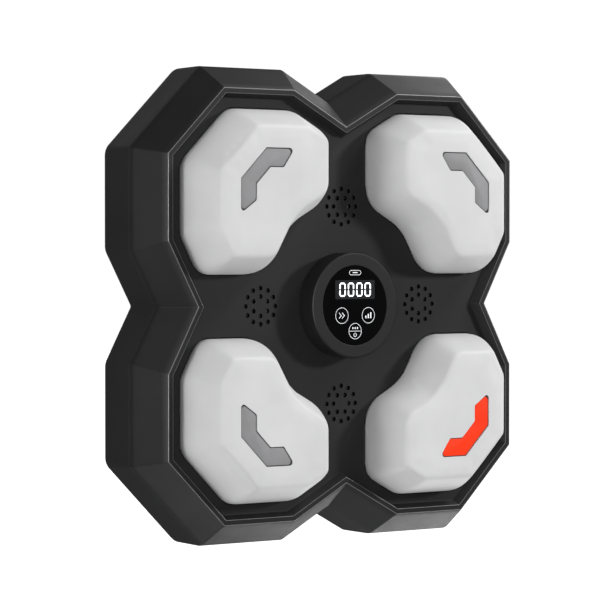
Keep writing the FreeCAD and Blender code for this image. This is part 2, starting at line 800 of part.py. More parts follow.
def make_switch(name, angle):
    """Lever switch on the chassis plate. The lever swings on a pin between two ears."""
    body = new_body("strike_switch_" + name, angle)
    case = new_sketch(body, chassis_front)
    add_box(case, switch_spot, switch_spot, S.switch_long, S.switch_wide)
    pad_up(body, case, S.switch_tall)
    ears = new_sketch(body, chassis_front + S.switch_tall)
    ear = (S.switch_wide - S.lever_wide - 0.6) / 2
    for side in (-1, 1):
        z = switch_spot + (S.switch_wide / 2 - ear / 2) * side
        add_box(ears, pivot_x, z, S.pivot_inset * 2, ear)
    pad_up(body, ears, S.pivot_height - S.switch_tall + 2)
    pin = new_sketch(body, switch_spot - S.switch_wide / 2, "XY_Plane")
    add_circle(pin, pivot_x, -pivot_depth, S.pivot_radius)
    pad_up(body, pin, S.switch_wide)
    plunger = new_sketch(body, chassis_front + S.switch_tall)
    add_circle(plunger, pivot_x + S.plunger_reach, switch_spot, S.plunger_radius)
    swing = S.travel * S.plunger_reach / S.lever_arm + S.plunger_clear
    pad_up(body, plunger, S.pivot_height - S.switch_tall - S.lever_thick / 2 - swing)
    keep(body)
    lever = new_body("switch_lever_" + name, angle)
    low = switch_spot - S.lever_wide / 2
    eye = new_sketch(lever, low, "XY_Plane")
    add_circle(eye, pivot_x, -pivot_depth, S.pivot_radius * 2)
    pad_up(lever, eye, S.lever_wide)
    blade = new_sketch(lever, low, "XY_Plane")
    add_box(blade, pivot_x + (S.lever_arm + 3) / 2, -pivot_depth, S.lever_arm + 3, S.lever_thick)
    pad_up(lever, blade, S.lever_wide)
    hole = new_sketch(lever, low + S.lever_wide, "XY_Plane")
    add_circle(hole, pivot_x, -pivot_depth, S.pivot_radius + 0.05)
    cut_back(lever, hole, S.lever_wide)
    keep(lever)


def coil(radius, wire, height, turns):
    """A closed-end coil along +Z from z = 0, as one swept solid."""
    pitch = (height - wire) / turns
    path = Part.makeLongHelix(pitch, height - wire, radius)
    profile = Part.Wire([Part.makeCircle(wire / 2, FreeCAD.Vector(radius, 0, 0), FreeCAD.Vector(0, 1, 0))])
    solid = Part.Wire(path.Edges).makePipeShell([profile], True, True)
    solid.translate(FreeCAD.Vector(0, 0, wire / 2))
    return solid


def coil_group(label, angle, spots, radius, wire, start, end, turns):
    """Coils that stand on the plane at depth start and reach to depth end."""
    coils = []
    for x, z in spots:
        one = coil(radius, wire, end - start, turns)
        one.rotate(FreeCAD.Vector(0, 0, 0), FreeCAD.Vector(1, 0, 0), 90)
        one.translate(FreeCAD.Vector(x, -start, z))
        coils.append(one)
    group = doc.addObject("Part::Feature", label)
    group.Label = label
    group.Shape = Part.makeCompound(coils)
    group.Placement = turned(angle)
    keep(group)


def make_springs(name, angle):
    radius = S.post_radius.number + S.spring_clear.number + S.spring_wire.number / 2
    spots = [(x.number, z.number) for x, z in guide_spots()]
    coil_group("pad_springs_" + name, angle, spots, radius, S.spring_wire.number,
               sleeve_top.number, tray_back.number - 0.2, S.spring_turns.number)


# ---------------------------------------------------------------- control pod

def make_pod():
    body = new_body("control_barrel")
    drum = new_sketch(body, face_depth)
    add_circle(drum, 0, 0, S.pod_radius)
    top = pad_up(body, drum, S.pod_stand)

    def front_edge(edge):
        return all(abs(v.Point.y + pod_front.number) < 1e-6 for v in edge.Vertexes)

    round_edges(body, top, front_edge, S.pod_round)
    skirt = new_sketch(body, face_back - S.snap_lip * 2)
    add_circle(skirt, 0, 0, snap_radius)
    pad_up(body, skirt, S.face_thick + S.snap_lip * 2)
    lip = new_sketch(body, face_back - S.snap_lip * 2)
    add_circle(lip, 0, 0, snap_radius + S.snap_lip)
    pad_up(body, lip, S.snap_lip * 2)
    bore = new_sketch(body, pod_plate_back)
    add_circle(bore, 0, 0, snap_radius - S.wall)
    cut_back(body, bore, pod_plate_back - face_back + S.snap_lip * 2)
    hollow = new_sketch(body, pod_plate_back)
    add_circle(hollow, 0, 0, S.pod_radius - S.pod_wall)
    cut_back(body, hollow, pod_plate_back - face_depth - S.pod_wall)
    seat = new_sketch(body, pod_front)
    add_circle(seat, 0, 0, glass_radius + S.glass_fit)
    cut_back(body, seat, S.glass_thick)
    window = new_sketch(body, pod_front)
    add_circle(window, 0, 0, pod_window)
    cut_back(body, window, S.pod_wall)
    posts = new_sketch(body, board_front)
    for x, z in pod_spots():
        add_circle(posts, x, z, S.board_post_radius)
    pad_up(body, posts, S.board_drop)
    pilots = new_sketch(body, board_front + S.board_pilot_deep)
    for x, z in pod_spots():
        add_circle(pilots, x, z, S.board_pilot)
    cut_back(body, pilots, S.board_pilot_deep)
    slots = new_sketch(body, face_back)
    for turn in range(4):
        corner = turned_points([(snap_radius, Dim(0.0))], turn)[0]
        add_box(slots, corner[0], corner[1], 5, 5)
    cut_back(body, slots, S.snap_lip * 2)
    port = new_sketch(body, S.pod_radius + 1, "XY_Plane")
    add_box(port, 0, -port_depth, S.port_wide, S.port_tall)
    cut_back(body, port, S.pod_wall * 2)
    keep(body)
    glass = new_body("display_glass")
    disc_stack(glass, [(0, 0, glass_radius, pod_front - S.glass_thick, S.glass_thick)])
    keep(glass)
    board = new_body("display_board")
    disc_stack(board, [(0, 0, board_radius, board_back, S.board_thick)])
    holes = new_sketch(board, board_front)
    for x, z in pod_spots():
        add_circle(holes, x, z, S.board_pilot + S.glass_fit)
    cut_back(board, holes, S.board_thick)
    keep(board)
    window_back = pod_front - S.glass_thick
    module = new_body("segment_display")
    block = new_sketch(module, board_front)
    add_box(block, 0, S.digits_rise, S.digits_wide, S.digits_tall)
    pad_up(module, block, window_back - board_front - 0.2)
    keep(module)
    side, drop, low = S.key_side.number, S.key_drop.number, S.key_low.number
    spots = [(-side, -drop), (side, -drop), (0, -low)]
    coil_group("touch_springs", 0, spots, 4.5, 0.6, board_front.number, window_back.number - 0.1, 3)
    socket = new_body("usb_c_socket")
    inner_end = board_radius - 1.5
    mouth_level = S.pod_radius - 0.4
    can = new_sketch(socket, inner_end, "XY_Plane")
    add_box(can, 0, -port_depth, S.socket_wide, S.socket_tall)
    pad_up(socket, can, mouth_level - inner_end)
    mouth = new_sketch(socket, mouth_level, "XY_Plane")
    add_box(mouth, 0, -port_depth, S.socket_wide - S.socket_lip * 2, S.socket_tall - S.socket_lip * 2)
    cut_back(socket, mouth, S.pod_wall * 2)
    keep(socket)


def pod_spots():
    reach = board_post * 0.70710678
    return [(reach, reach), (reach, -reach), (-reach, -reach), (-reach, reach)]


# ---------------------------------------------------------------- electronics

def make_speaker(name, angle):
    centre = S.speaker_reach
    basket = new_body("speaker_basket_" + name, angle)
    flange = new_sketch(basket, face_back - S.speaker_frame)
    add_circle(flange, 0, centre, speaker_radius)
    pad_up(basket, flange, S.speaker_frame)
    cup = new_sketch(basket, face_back - S.speaker_height + 5)
    add_circle(cup, 0, centre, speaker_radius - 4)
    pad_up(basket, cup, S.speaker_height - 5 - S.speaker_frame)
    magnet = new_sketch(basket, face_back - S.speaker_height)
    add_circle(magnet, 0, centre, S.magnet_radius)
    pad_up(basket, magnet, 6)
    hollow = new_sketch(basket, face_back)
    add_circle(hollow, 0, centre, speaker_radius - 5)
    cut_back(basket, hollow, S.speaker_height - 7)
    keep(basket)
    cone = doc.addObject("Part::Feature", "speaker_cone_" + name)
    cone.Label = "speaker_cone_" + name
    outer = speaker_radius.number - 5.2
    back = face_back.number - S.speaker_height.number + 7
    tall = S.speaker_height.number - 8.5
    shape = Part.makeCone(5, outer, tall).cut(Part.makeCone(4.2, outer - 0.8, tall))
    shape = shape.fuse(Part.makeCylinder(5, 0.8))
    shape.rotate(FreeCAD.Vector(0, 0, 0), FreeCAD.Vector(1, 0, 0), 90)
    shape.translate(FreeCAD.Vector(0, -back, centre.number))
    cone.Shape = shape.removeSplitter()
    cone.Placement = turned(angle)
    keep(cone)


# across, up, width, height and thickness of what stands on the main board
BOARD_PARTS = [
    (-14, 4, 12, 12, 1.6),       # processor
    (16, 10, 8, 8, 1.4),         # audio chip
    (-2, -16, 16, 12, 2.2),      # radio module
    (24, -8, 9, 9, 8.0),         # storage capacitor
    (36, -14, 6, 9, 6.0),        # battery lead's socket
    (-34, 12, 6, 9, 6.0),        # display lead's socket
]


def make_main_board():
    level = chassis_front + S.mainboard_post
    board = new_body("main_board")
    plate = new_sketch(board, level)
    add_box(plate, 0, 0, S.mainboard_x, S.mainboard_z)
    for x, z in mainboard_spots():
        add_circle(plate, x, z, S.spacer_hole)
    pad_up(board, plate, S.board_thick)
    keep(board)
    parts = []
    top = level + S.board_thick
    for k, (x, z, wide, tall, high) in enumerate(BOARD_PARTS):
        chip = new_body("board_part_%d" % (k + 1))
        sketch = new_sketch(chip, top)
        add_box(sketch, x, z, wide, tall)
        pad_up(chip, sketch, high)
        parts.append(chip)
    doc.recompute()
    group = doc.addObject("Part::Compound", "main_board_parts")
    group.Label = "main_board_parts"
    group.Links = parts
    keep(group)
    make_screws("board_screws", mainboard_spots(), Dim(1.15), Dim(2.4), top, Dim(5.0), Dim(1.6), False)


def make_battery():
    centre = S.floor_thick + S.cradle_floor + S.cell_radius
    pack = new_body("battery_pack")
    ends = new_sketch(pack, -(S.cell_long / 2), "YZ_Plane")
    # two cells side by side in one shrink wrap
    for side in (-1, 1):
        add_circle(ends, -centre, S.battery_z + S.cell_radius * side * 0.98, S.cell_radius)
    pad_up(pack, ends, S.cell_long)
    cradle = new_body("battery_cradle")
    tray = new_sketch(cradle, S.floor_thick)
    rim = S.cradle_room + S.cradle_wall
    wide = S.cell_long + rim * 2
    tall = S.cell_radius * 4 + rim * 2
    add_box(tray, 0, S.battery_z, wide, tall)
    pad_up(cradle, tray, S.cell_radius * 1.2)
    pocket = new_sketch(cradle, S.floor_thick + S.cell_radius * 1.2)
    add_box(pocket, 0, S.battery_z, wide - S.cradle_wall * 2, tall - S.cradle_wall * 2)
    cut_back(cradle, pocket, S.cell_radius * 1.2 - S.cradle_floor)
    keep(pack)
    keep(cradle)


def make_lead(label, points, radius):
    """A round lead: straight runs joined by the largest tangent arcs its runs allow."""
    spots = [FreeCAD.Vector(*p) for p in points]
    edges = []
    start = spots[0]
    for k in range(1, len(spots) - 1):
        back = spots[k - 1] - spots[k]
        ahead = spots[k + 1] - spots[k]
        short = min(back.Length, ahead.Length)
        turn = math.pi - back.getAngle(ahead)
        bend = 0.45 * short / math.tan(turn / 2)
        reach = 0.45 * short
        back.normalize()
        ahead.normalize()
        first = spots[k] + back * reach
        last = spots[k] + ahead * reach
        middle = (back + ahead).normalize()
        top = spots[k] + middle * (bend / math.cos(turn / 2) - bend)
        edges.append(Part.LineSegment(start, first).toShape())
        edges.append(Part.Arc(first, top, last).toShape())
        start = last
        print(label, "bend radius", round(bend, 2))
    edges.append(Part.LineSegment(start, spots[-1]).toShape())
    path = Part.Wire(edges)
    profile = Part.Wire([Part.makeCircle(radius, spots[0], spots[1] - spots[0])])
    solid = path.makePipeShell([profile], True, True)
    print(label, "volume check", round(solid.Volume / (math.pi * radius ** 2 * path.Length), 4))
    lead = doc.addObject("Part::Feature", label)
    lead.Label = label
    lead.Shape = solid
    lead.Placement = FreeCAD.Placement()
    keep(lead)


def make_leads():
    cell_depth = (S.floor_thick + S.cradle_floor + S.cell_radius).number
    x = S.cell_long.number / 2
    z = S.battery_z.number
    board_top = (chassis_front + S.mainboard_post + S.board_thick).number
    socket_depth = board_top + 3.0
    bend = x + S.lead_reach.number
    make_lead("battery_lead", [
        (x, -cell_depth - 6, z), (bend, -cell_depth - 6, z), (bend, -socket_depth, z),
        (bend, -socket_depth, -14), (39, -socket_depth, -14)], S.lead_radius.number)
    make_lead("display_lead", [
        (-34, -board_top - 6, 12), (-34, -board_top - 14, 12), (-26, -board_back.number + 8, 8),
        (-26, -board_back.number, 8)], S.lead_radius.number)


# ---------------------------------------------------------------- build

make_back_shell()
make_front_bezel()
make_chassis_plate()
make_screws("case_screws", case_spots(), S.case_screw, S.case_head, S.case_seat - S.case_head_web, Dim(16.0), Dim(2.2), True)
make_screws("chassis_screws", chassis_spots(), S.case_screw, S.case_head, chassis_front, Dim(12.0),
            Dim(2.2), False)
make_pod()
make_screws("pod_screws", pod_spots(), Dim(0.85), Dim(1.8), board_back, Dim(5.0), Dim(1.2), True)
make_main_board()
make_battery()
make_leads()
for side_name, side_angle in SIDES:
    make_speaker(side_name, side_angle)
for pad_name, pad_angle in QUARTERS:
    make_pad(pad_name, pad_angle)
    make_switch(pad_name, pad_angle)
    make_springs(pad_name, pad_angle)
doc.recompute()

problems = [o.Name + " " + str(o.State) for o in doc.Objects if "Invalid" in o.State or "Error" in o.State]
for node in nodes:
    if node.Shape.isNull() or not node.Shape.isValid():
        problems.append(node.Label + " has no valid shape")
if problems:
    raise RuntimeError("; ".join(problems))

os.makedirs("parts", exist_ok=True)
for node in nodes:
    node.Shape.exportStep("parts/%s.step" % node.Label)
    print(node.Label, len(node.Shape.Solids), round(node.Shape.Volume / 1000.0, 2), "cm3")
print(len(nodes), "nodes")
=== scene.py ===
import math

import bmesh
import bpy
from mathutils import Matrix, Vector


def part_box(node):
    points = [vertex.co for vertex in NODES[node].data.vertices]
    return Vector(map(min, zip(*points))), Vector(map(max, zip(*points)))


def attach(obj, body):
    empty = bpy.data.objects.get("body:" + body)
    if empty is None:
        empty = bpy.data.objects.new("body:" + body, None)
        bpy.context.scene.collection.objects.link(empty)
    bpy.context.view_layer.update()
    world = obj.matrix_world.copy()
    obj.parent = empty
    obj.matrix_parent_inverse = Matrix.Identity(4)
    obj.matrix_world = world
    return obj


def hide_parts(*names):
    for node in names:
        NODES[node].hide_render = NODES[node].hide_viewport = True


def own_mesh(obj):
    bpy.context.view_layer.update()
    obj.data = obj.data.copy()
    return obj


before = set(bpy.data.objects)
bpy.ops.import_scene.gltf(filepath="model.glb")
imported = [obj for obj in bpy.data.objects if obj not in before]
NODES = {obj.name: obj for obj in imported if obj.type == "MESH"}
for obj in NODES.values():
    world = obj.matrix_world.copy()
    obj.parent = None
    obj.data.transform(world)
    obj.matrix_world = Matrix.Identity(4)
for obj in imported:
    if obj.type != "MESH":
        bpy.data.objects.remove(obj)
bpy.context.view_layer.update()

# Wall-mounted boxing machine. Lengths below are millimetres: x to the right, z up, and
# "depth" is the distance out from the wall, so a depth of 10 is y = -0.010 m.
MM = 0.001
QUARTERS = (("tr", 0), ("br", 1), ("bl", 2), ("tl", 3))


# ------------------------------------------------------------------ materials

def hex_colour(code):
    """sRGB hex to the linear colour that the shader wants."""
    out = []
    for k in (0, 2, 4):
        c = int(code[k:k + 2], 16) / 255.0
        out.append(c / 12.92 if c <= 0.04045 else ((c + 0.055) / 1.055) ** 2.4)
    return (out[0], out[1], out[2], 1.0)


def add_node(tree, kind, settings=None, inputs=None):
    """Adds one node with its settings; an input is a plain value or another node's socket."""
    node = tree.nodes.new(kind)
    for name, value in (settings or {}).items():
        setattr(node, name, value)
    for name, value in (inputs or {}).items():
        if isinstance(value, bpy.types.NodeSocket):
            tree.links.new(value, node.inputs[name])
        else:
            node.inputs[name].default_value = value
    return node


def start_material(name, **values):
    material = bpy.data.materials.new(name)
    material.use_nodes = True
    tree = material.node_tree
    shader = tree.nodes["Principled BSDF"]
    for socket, value in values.items():
        shader.inputs[socket.replace("_", " ")].default_value = value
    return material, tree, shader


def object_place(tree):
    return add_node(tree, "ShaderNodeTexCoord").outputs["Object"]


def two_tone(tree, place, grain_mm, low, high, detail=4.0):
    """A noise of real grain size that runs between two colours."""
    noise = add_node(tree, "ShaderNodeTexNoise", None,
                     {"Vector": place, "Scale": 1.0 / (grain_mm * MM), "Detail": detail, "Roughness": 0.55})
    ramp = add_node(tree, "ShaderNodeValToRGB", None, {"Fac": noise.outputs["Fac"]})
    ramp.color_ramp.elements[0].position = 0.3
    ramp.color_ramp.elements[1].position = 0.7
    ramp.color_ramp.elements[0].color = hex_colour(low)
    ramp.color_ramp.elements[1].color = hex_colour(high)
    return ramp.outputs["Color"]


def relief(tree, shader, height, distance_mm, strength=1.0):
    bump = add_node(tree, "ShaderNodeBump", None,
                    {"Height": height, "Distance": distance_mm * MM, "Strength": strength})
    tree.links.new(bump.outputs["Normal"], shader.inputs["Normal"])


def moulded_plastic(name, low, high, grain_mm, bump_mm, rough_low, rough_high, shine=0.2):
    """Moulded ABS with a spark-eroded texture: fine even pits and slightly uneven gloss."""
    material, tree, shader = start_material(name, IOR=1.53, Specular_IOR_Level=shine)
    place = object_place(tree)
    tree.links.new(two_tone(tree, place, 60.0, low, high), shader.inputs["Base Color"])
    fine = add_node(tree, "ShaderNodeTexNoise", None,
                    {"Vector": place, "Scale": 1.0 / (grain_mm * MM), "Detail": 3.0})
    patch = add_node(tree, "ShaderNodeTexNoise", None,
                     {"Vector": place, "Scale": 1.0 / (25.0 * MM), "Detail": 2.0})
    gloss = add_node(tree, "ShaderNodeMapRange", None,
                     {"Value": patch.outputs["Fac"], "From Min": 0.3, "From Max": 0.7,
                      "To Min": rough_low, "To Max": rough_high})
    tree.links.new(gloss.outputs["Result"], shader.inputs["Roughness"])
    relief(tree, shader, fine.outputs["Fac"], bump_mm)
    return material


# satin black ABS of the front: broad soft highlights along the edges
BEZEL_ABS = moulded_plastic("satin black ABS, moulded", "161617", "1A1A1B", 0.9, 0.03, 0.54, 0.60)
# matt black ABS of the rear tray: a coarser texture, darker and duller than the front
SHELL_ABS = moulded_plastic("matt black ABS, textured", "202021", "242425", 1.1, 0.05, 0.58, 0.64)
# pod drum: the same ABS with a finer finish
POD_ABS = moulded_plastic("satin black ABS, fine", "121213", "161617", 0.7, 0.015, 0.52, 0.58)
# painted highlight: the rim's outer round gets a paler, glossier ABS, which paints the thin bright line that
# light draws along the rim's edge
RIM_HIGHLIGHT_ABS = moulded_plastic("satin black ABS, painted rim highlight", "6E6E70", "767679", 0.9, 0.01, 0.36, 0.42, 0.5)
# painted shade: walls of the grille holes are coloured near black, darker than the face's ABS, for the shade
# inside them where light hardly reaches
HOLE_SHADE_ABS = moulded_plastic("black ABS, painted shade inside a small hole", "030303", "050505", 0.9, 0.01, 0.80, 0.85, 0.02)
# hidden frame parts in unpainted grey-black ABS
INNER_ABS = moulded_plastic("plain black ABS, moulded", "202022", "2A2A2C", 1.5, 0.03, 0.5, 0.6)


def soft_leather():
    """Matt artificial leather, polyurethane on knit: pale grey, fine pebble grain, a faint soft sheen."""
    material, tree, shader = start_material(
        "pale grey artificial leather", IOR=1.45, Roughness=0.52, Specular_IOR_Level=0.25,
        Sheen_Weight=0.15, Sheen_Roughness=0.5)
    place = object_place(tree)
    tree.links.new(two_tone(tree, place, 45.0, "DCDCDD", "E4E4E4", 2.0), shader.inputs["Base Color"])
    # pebbles 0.9 mm across, drawn slightly coarser than real so that they hold in a close view
    pebble = add_node(tree, "ShaderNodeTexVoronoi", {"feature": "SMOOTH_F1"},
                      {"Vector": place, "Scale": 1.0 / (0.9 * MM), "Smoothness": 0.6})
    relief(tree, shader, pebble.outputs["Distance"], 0.02, 0.6)
    gloss = add_node(tree, "ShaderNodeMapRange", None,
                     {"Value": pebble.outputs["Distance"], "From Min": 0.0, "From Max": 0.8,
                      "To Min": 0.48, "To Max": 0.58})
    tree.links.new(gloss.outputs["Result"], shader.inputs["Roughness"])
    return material


PAD_LEATHER = soft_leather()


def frosted_window(name, low, high, gloss, glow=None):
    """Frosted acrylic light guide: an even tone with a faint cloud and a satin face. A glow is two
    colours and a strength."""
    material, tree, shader = start_material(name, IOR=1.49, Roughness=0.5, Specular_IOR_Level=gloss)
    place = object_place(tree)
    colour = two_tone(tree, place, 12.0, low, high, 2.0)
    tree.links.new(colour, shader.inputs["Base Color"])
    if glow:
        tree.links.new(two_tone(tree, place, 15.0, glow[0], glow[1], 1.0), shader.inputs["Emission Color"])
        shader.inputs["Emission Strength"].default_value = glow[2]
    frost = add_node(tree, "ShaderNodeTexNoise", None,
                     {"Vector": place, "Scale": 1.0 / (0.6 * MM), "Detail": 2.0})
    relief(tree, shader, frost.outputs["Fac"], 0.01)
    return material


WINDOW_GREY = frosted_window("frosted grey acrylic, unlit", "929293", "98989A", 0.3)
WINDOW_LIT = frosted_window("frosted acrylic, lit red-orange", "B01A0A", "B81E0C", 0.1,
                            ("FF4218", "FF481C", 0.6))


def plain_finish(name, low, high, grain_mm, roughness, metallic=0.0, bump_mm=0.01, **values):
    """One base tone with its grain: for boards, cells, wire, wraps and plated parts."""
    material, tree, shader = start_material(name, Roughness=roughness, Metallic=metallic, **values)
    place = object_place(tree)
    tree.links.new(two_tone(tree, place, grain_mm, low, high), shader.inputs["Base Color"])
    grain = add_node(tree, "ShaderNodeTexNoise", None,
                     {"Vector": place, "Scale": 1.0 / (0.5 * MM), "Detail": 2.0})
    relief(tree, shader, grain.outputs["Fac"], bump_mm)
    return material


# black display window: gloss acrylic, printed black behind
GLASS_BLACK = plain_finish("gloss black acrylic window", "020203", "040405", 40.0, 0.04, bump_mm=0.0002,
                           IOR=1.49, Specular_IOR_Level=0.3)
# smoked strip in front of the digits
SMOKED = plain_finish("smoked acrylic strip", "2A2B2D", "2E2F31", 20.0, 0.05, bump_mm=0.0002,
                      IOR=1.49, Specular_IOR_Level=0.3)
BOARD_GREEN = plain_finish("green solder mask", "0E4A26", "155C30", 3.0, 0.35)
CHIP_RESIN = plain_finish("black epoxy chip resin", "161617", "1E1E1F", 1.0, 0.6)
CELL_WRAP = plain_finish("blue shrink wrap", "1B4FA0", "2258AE", 8.0, 0.3)
LEAD_JACKET = plain_finish("red silicone lead", "A01A16", "B02420", 5.0, 0.5)
SPRING_WIRE = plain_finish("drawn spring steel", "A8A9AB", "B8B9BB", 2.0, 0.3, 1.0)
PLATED_STEEL = plain_finish("nickel-plated steel", "B9B8B2", "C9C8C2", 4.0, 0.25, 1.0)
SCREW_STEEL = plain_finish("black zinc-plated steel", "3A3A3C", "48484A", 2.0, 0.38, 1.0)
BASKET_STEEL = plain_finish("black painted steel", "1C1C1E", "242426", 4.0, 0.45)
CONE_PAPER = plain_finish("black paper cone", "18181A", "222224", 1.2, 0.85, bump_mm=0.08)
PAD_FOAM = plain_finish("closed-cell foam", "CFCBBE", "DAD6CA", 2.0, 0.9, bump_mm=0.15)
# black ring at the bottom of each window's gap: painted shade for the dark outline round the window
GAP_SHADE_BLACK = plain_finish("black rubber ring, painted gap shade", "141415", "1A1A1B", 2.0, 0.7)
SWITCH_RESIN = plain_finish("black switch resin", "1A1A1C", "222224", 2.0, 0.4)


def light_print(name, code, strength):
    """Glowing white: a lit segment shines with its own light, and a white screen print gets the same glow as
    painted light.
    """
    material, tree, shader = start_material(name, Roughness=0.5)
    place = object_place(tree)
    tone = two_tone(tree, place, 4.0, code, code)
    tree.links.new(tone, shader.inputs["Base Color"])
    tree.links.new(tone, shader.inputs["Emission Color"])
    shader.inputs["Emission Strength"].default_value = strength
    return material


DIGIT_LIGHT = light_print("lit white display segment", "F4F6F8", 1.6)
# painted light: the white key print is given a faint glow of its own
GLOWING_KEY_PRINT = light_print("white key print, painted glow", "E6E8EA", 0.55)

NODE_FINISH = {
    "chassis_plate": INNER_ABS, "battery_cradle": INNER_ABS, "pad_tray": INNER_ABS,
    "display_board": BOARD_GREEN, "main_board": BOARD_GREEN, "led_board": BOARD_GREEN,
    "main_board_parts": CHIP_RESIN, "segment_display": CHIP_RESIN, "battery_pack": CELL_WRAP,
    "battery_lead": LEAD_JACKET, "display_lead": LEAD_JACKET, "touch_springs": SPRING_WIRE,
    "pad_springs": SPRING_WIRE, "usb_c_socket": PLATED_STEEL, "switch_lever": PLATED_STEEL,
    "case_screws": SCREW_STEEL, "chassis_screws": SCREW_STEEL, "board_screws": SCREW_STEEL,
    "pod_screws": SCREW_STEEL, "speaker_basket": BASKET_STEEL, "speaker_cone": CONE_PAPER,
    "pad_foam": PAD_FOAM, "strike_switch": SWITCH_RESIN, "back_shell": SHELL_ABS,
    "front_bezel": BEZEL_ABS, "control_barrel": POD_ABS, "display_glass": GLASS_BLACK,
    "pad_cover": PAD_LEATHER, "light_guide": WINDOW_GREY,
}
for node_name, node_object in NODES.items():
    stem = node_name if node_name in NODE_FINISH else node_name.rsplit("_", 1)[0]
    node_object.data.materials.clear()
    node_object.data.materials.append(NODE_FINISH[stem])


# ------------------------------------------------------------------ shaping

def clear_selection():
    if bpy.context.mode != "OBJECT":
        bpy.ops.object.mode_set(mode="OBJECT")
    bpy.ops.object.select_all(action="DESELECT")


def spot(x, depth, z):
    return Vector((x * MM, -depth * MM, z * MM))


def key_of(vert):
    return (round(vert.co.x, 7), round(vert.co.y, 7), round(vert.co.z, 7))


def place_ring(piece, verts, targets):
    """Moves each vertex to its target and returns where they now are, in order."""
    for vert, target in zip(verts, targets):
        vert.co = target
    bmesh.update_edit_mesh(piece.data)
    return [key_of(vert) for vert in verts]


def loft(name, rings, closed_tube=False):
    """A filled circle pulled out ring by ring: each ring is a list of points, all of one length.
    A closed tube has no end faces: its last ring lies on its first."""
    clear_selection()
    count = len(rings[0])
    fill = "NOTHING" if closed_tube else "NGON"
    bpy.ops.mesh.primitive_circle_add(vertices=count, radius=0.05, fill_type=fill)
    piece = bpy.context.object
    piece.name = name
    piece.data.name = name
    bpy.ops.object.mode_set(mode="EDIT")
    bpy.ops.mesh.select_all(action="SELECT")
    mesh = bmesh.from_edit_mesh(piece.data)
    keys = place_ring(piece, list(mesh.verts), rings[0])
    for ring in rings[1:]:
        if closed_tube:
            bpy.ops.mesh.extrude_edges_move()
        else:
            bpy.ops.mesh.extrude_region_move()
        mesh = bmesh.from_edit_mesh(piece.data)
        found = {key_of(vert): vert for vert in mesh.verts if vert.select}
        keys = place_ring(piece, [found[key] for key in keys], ring)
    bpy.ops.mesh.select_all(action="SELECT")
    if closed_tube:
        bpy.ops.mesh.remove_doubles(threshold=2e-6)
    bpy.ops.mesh.normals_make_consistent(inside=False)
    bpy.ops.object.mode_set(mode="OBJECT")
    return piece


def rounded(points, radii, steps):
    """Corner points (x, z) with each corner turned into steps + 1 points on an arc."""
    out = []
    count = len(points)
    for k in range(count):
        corner = Vector(points[k])
        back = (Vector(points[k - 1]) - corner).normalized()
        ahead = (Vector(points[(k + 1) % count]) - corner).normalized()
        half = back.angle(ahead) / 2
        middle = (back + ahead).normalized()
        centre = corner + middle * (radii[k] / math.sin(half))
        sweep = math.pi - 2 * half
        start = (corner + back * (radii[k] / math.tan(half))) - centre
        turn = 1 if start.x * (ahead - back).y - start.y * (ahead - back).x > 0 else -1
        for j in range(steps + 1):
            angle = turn * sweep * j / steps
            out.append((centre.x + start.x * math.cos(angle) - start.y * math.sin(angle),
                        centre.y + start.x * math.sin(angle) + start.y * math.cos(angle)))
    return out


def ring_at(outline, depth):
    return [spot(x, depth, z) for x, z in outline]


def circle(radius, count=96, x=0.0, z=0.0):
    return [(x + radius * math.sin(2 * math.pi * k / count), z + radius * math.cos(2 * math.pi * k / count))
            for k in range(count)]


def prism(name, outline, near, far):
    """A straight block of one outline between two depths."""
    return loft(name, [ring_at(outline, near), ring_at(outline, far)])


def quarter_turn(points, turns):
    out = list(points)
    for _ in range(turns):
        out = [(z, -x) for x, z in out]
    return out


def activate(piece):
    clear_selection()
    piece.select_set(True)
    bpy.context.view_layer.objects.active = piece


def apply_modifier(piece, kind, **settings):
    activate(piece)
    modifier = piece.modifiers.new(kind.title(), kind)
    for name, value in settings.items():
        setattr(modifier, name, value)
    bpy.ops.object.modifier_apply(modifier=modifier.name)


def join(pieces, name):
    activate(pieces[0])
    for piece in pieces:
        piece.select_set(True)
    bpy.ops.object.join()
    joined = bpy.context.object
    joined.name = name
    joined.data.name = name
    return joined


def cut(piece, cutters, wall_finish=None):
    """Cuts a group of blocks out of a piece and removes them. The cut walls may have a finish."""
    tool = join(cutters, "cutter") if len(cutters) > 1 else cutters[0]
    tool.data.materials.append(wall_finish or piece.data.materials[0])
    apply_modifier(piece, "BOOLEAN", operation="DIFFERENCE", solver="EXACT",
                   material_mode="TRANSFER", object=tool)
    bpy.data.objects.remove(tool, do_unlink=True)


def smooth(piece, degrees=30.0):
    activate(piece)
    bpy.ops.object.shade_smooth_by_angle(angle=math.radians(degrees))


def dress(piece, finish, slot_name, body, *stands_for):
    """Gives a piece its finish and its body; it may stand for CAD nodes. The slot name is not used."""
    if not piece.data.materials:
        piece.data.materials.append(finish)
    if stands_for:
        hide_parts(*stands_for)
    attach(piece, body)
    return piece


def turned_copy(piece, name, turns):
    """A copy of a piece turned clockwise about the housing's centre, with its own mesh."""
    activate(piece)
    bpy.ops.object.duplicate()
    copy = bpy.context.object
    copy.name = name
    copy.data.name = name
    copy.data.transform(Matrix.Rotation(math.radians(90.0 * turns), 4, "Y"))
    return copy


# ------------------------------------------------------------------ camera, floor and light

CAMERA_AZIMUTH = math.radians(-36.06)
CAMERA_RISE = math.radians(1.14)
CAMERA_DISTANCE = 2.460
CAMERA_SIDE = 0.0060
CAMERA_UP = -0.0018
away = Vector((math.sin(CAMERA_AZIMUTH) * math.cos(CAMERA_RISE),
               -math.cos(CAMERA_AZIMUTH) * math.cos(CAMERA_RISE), math.sin(CAMERA_RISE)))
side = (-away).cross(Vector((0, 0, 1))).normalized()
bpy.ops.object.camera_add(location=away * CAMERA_DISTANCE + side * CAMERA_SIDE
                          + side.cross(-away) * CAMERA_UP)
camera = bpy.context.object
camera.rotation_euler = (-away).to_track_quat("-Z", "Y").to_euler()
camera.data.sensor_width = 36.0
camera.data.lens = 166.2
camera.data.clip_end = 100.0
bpy.context.scene.camera = camera

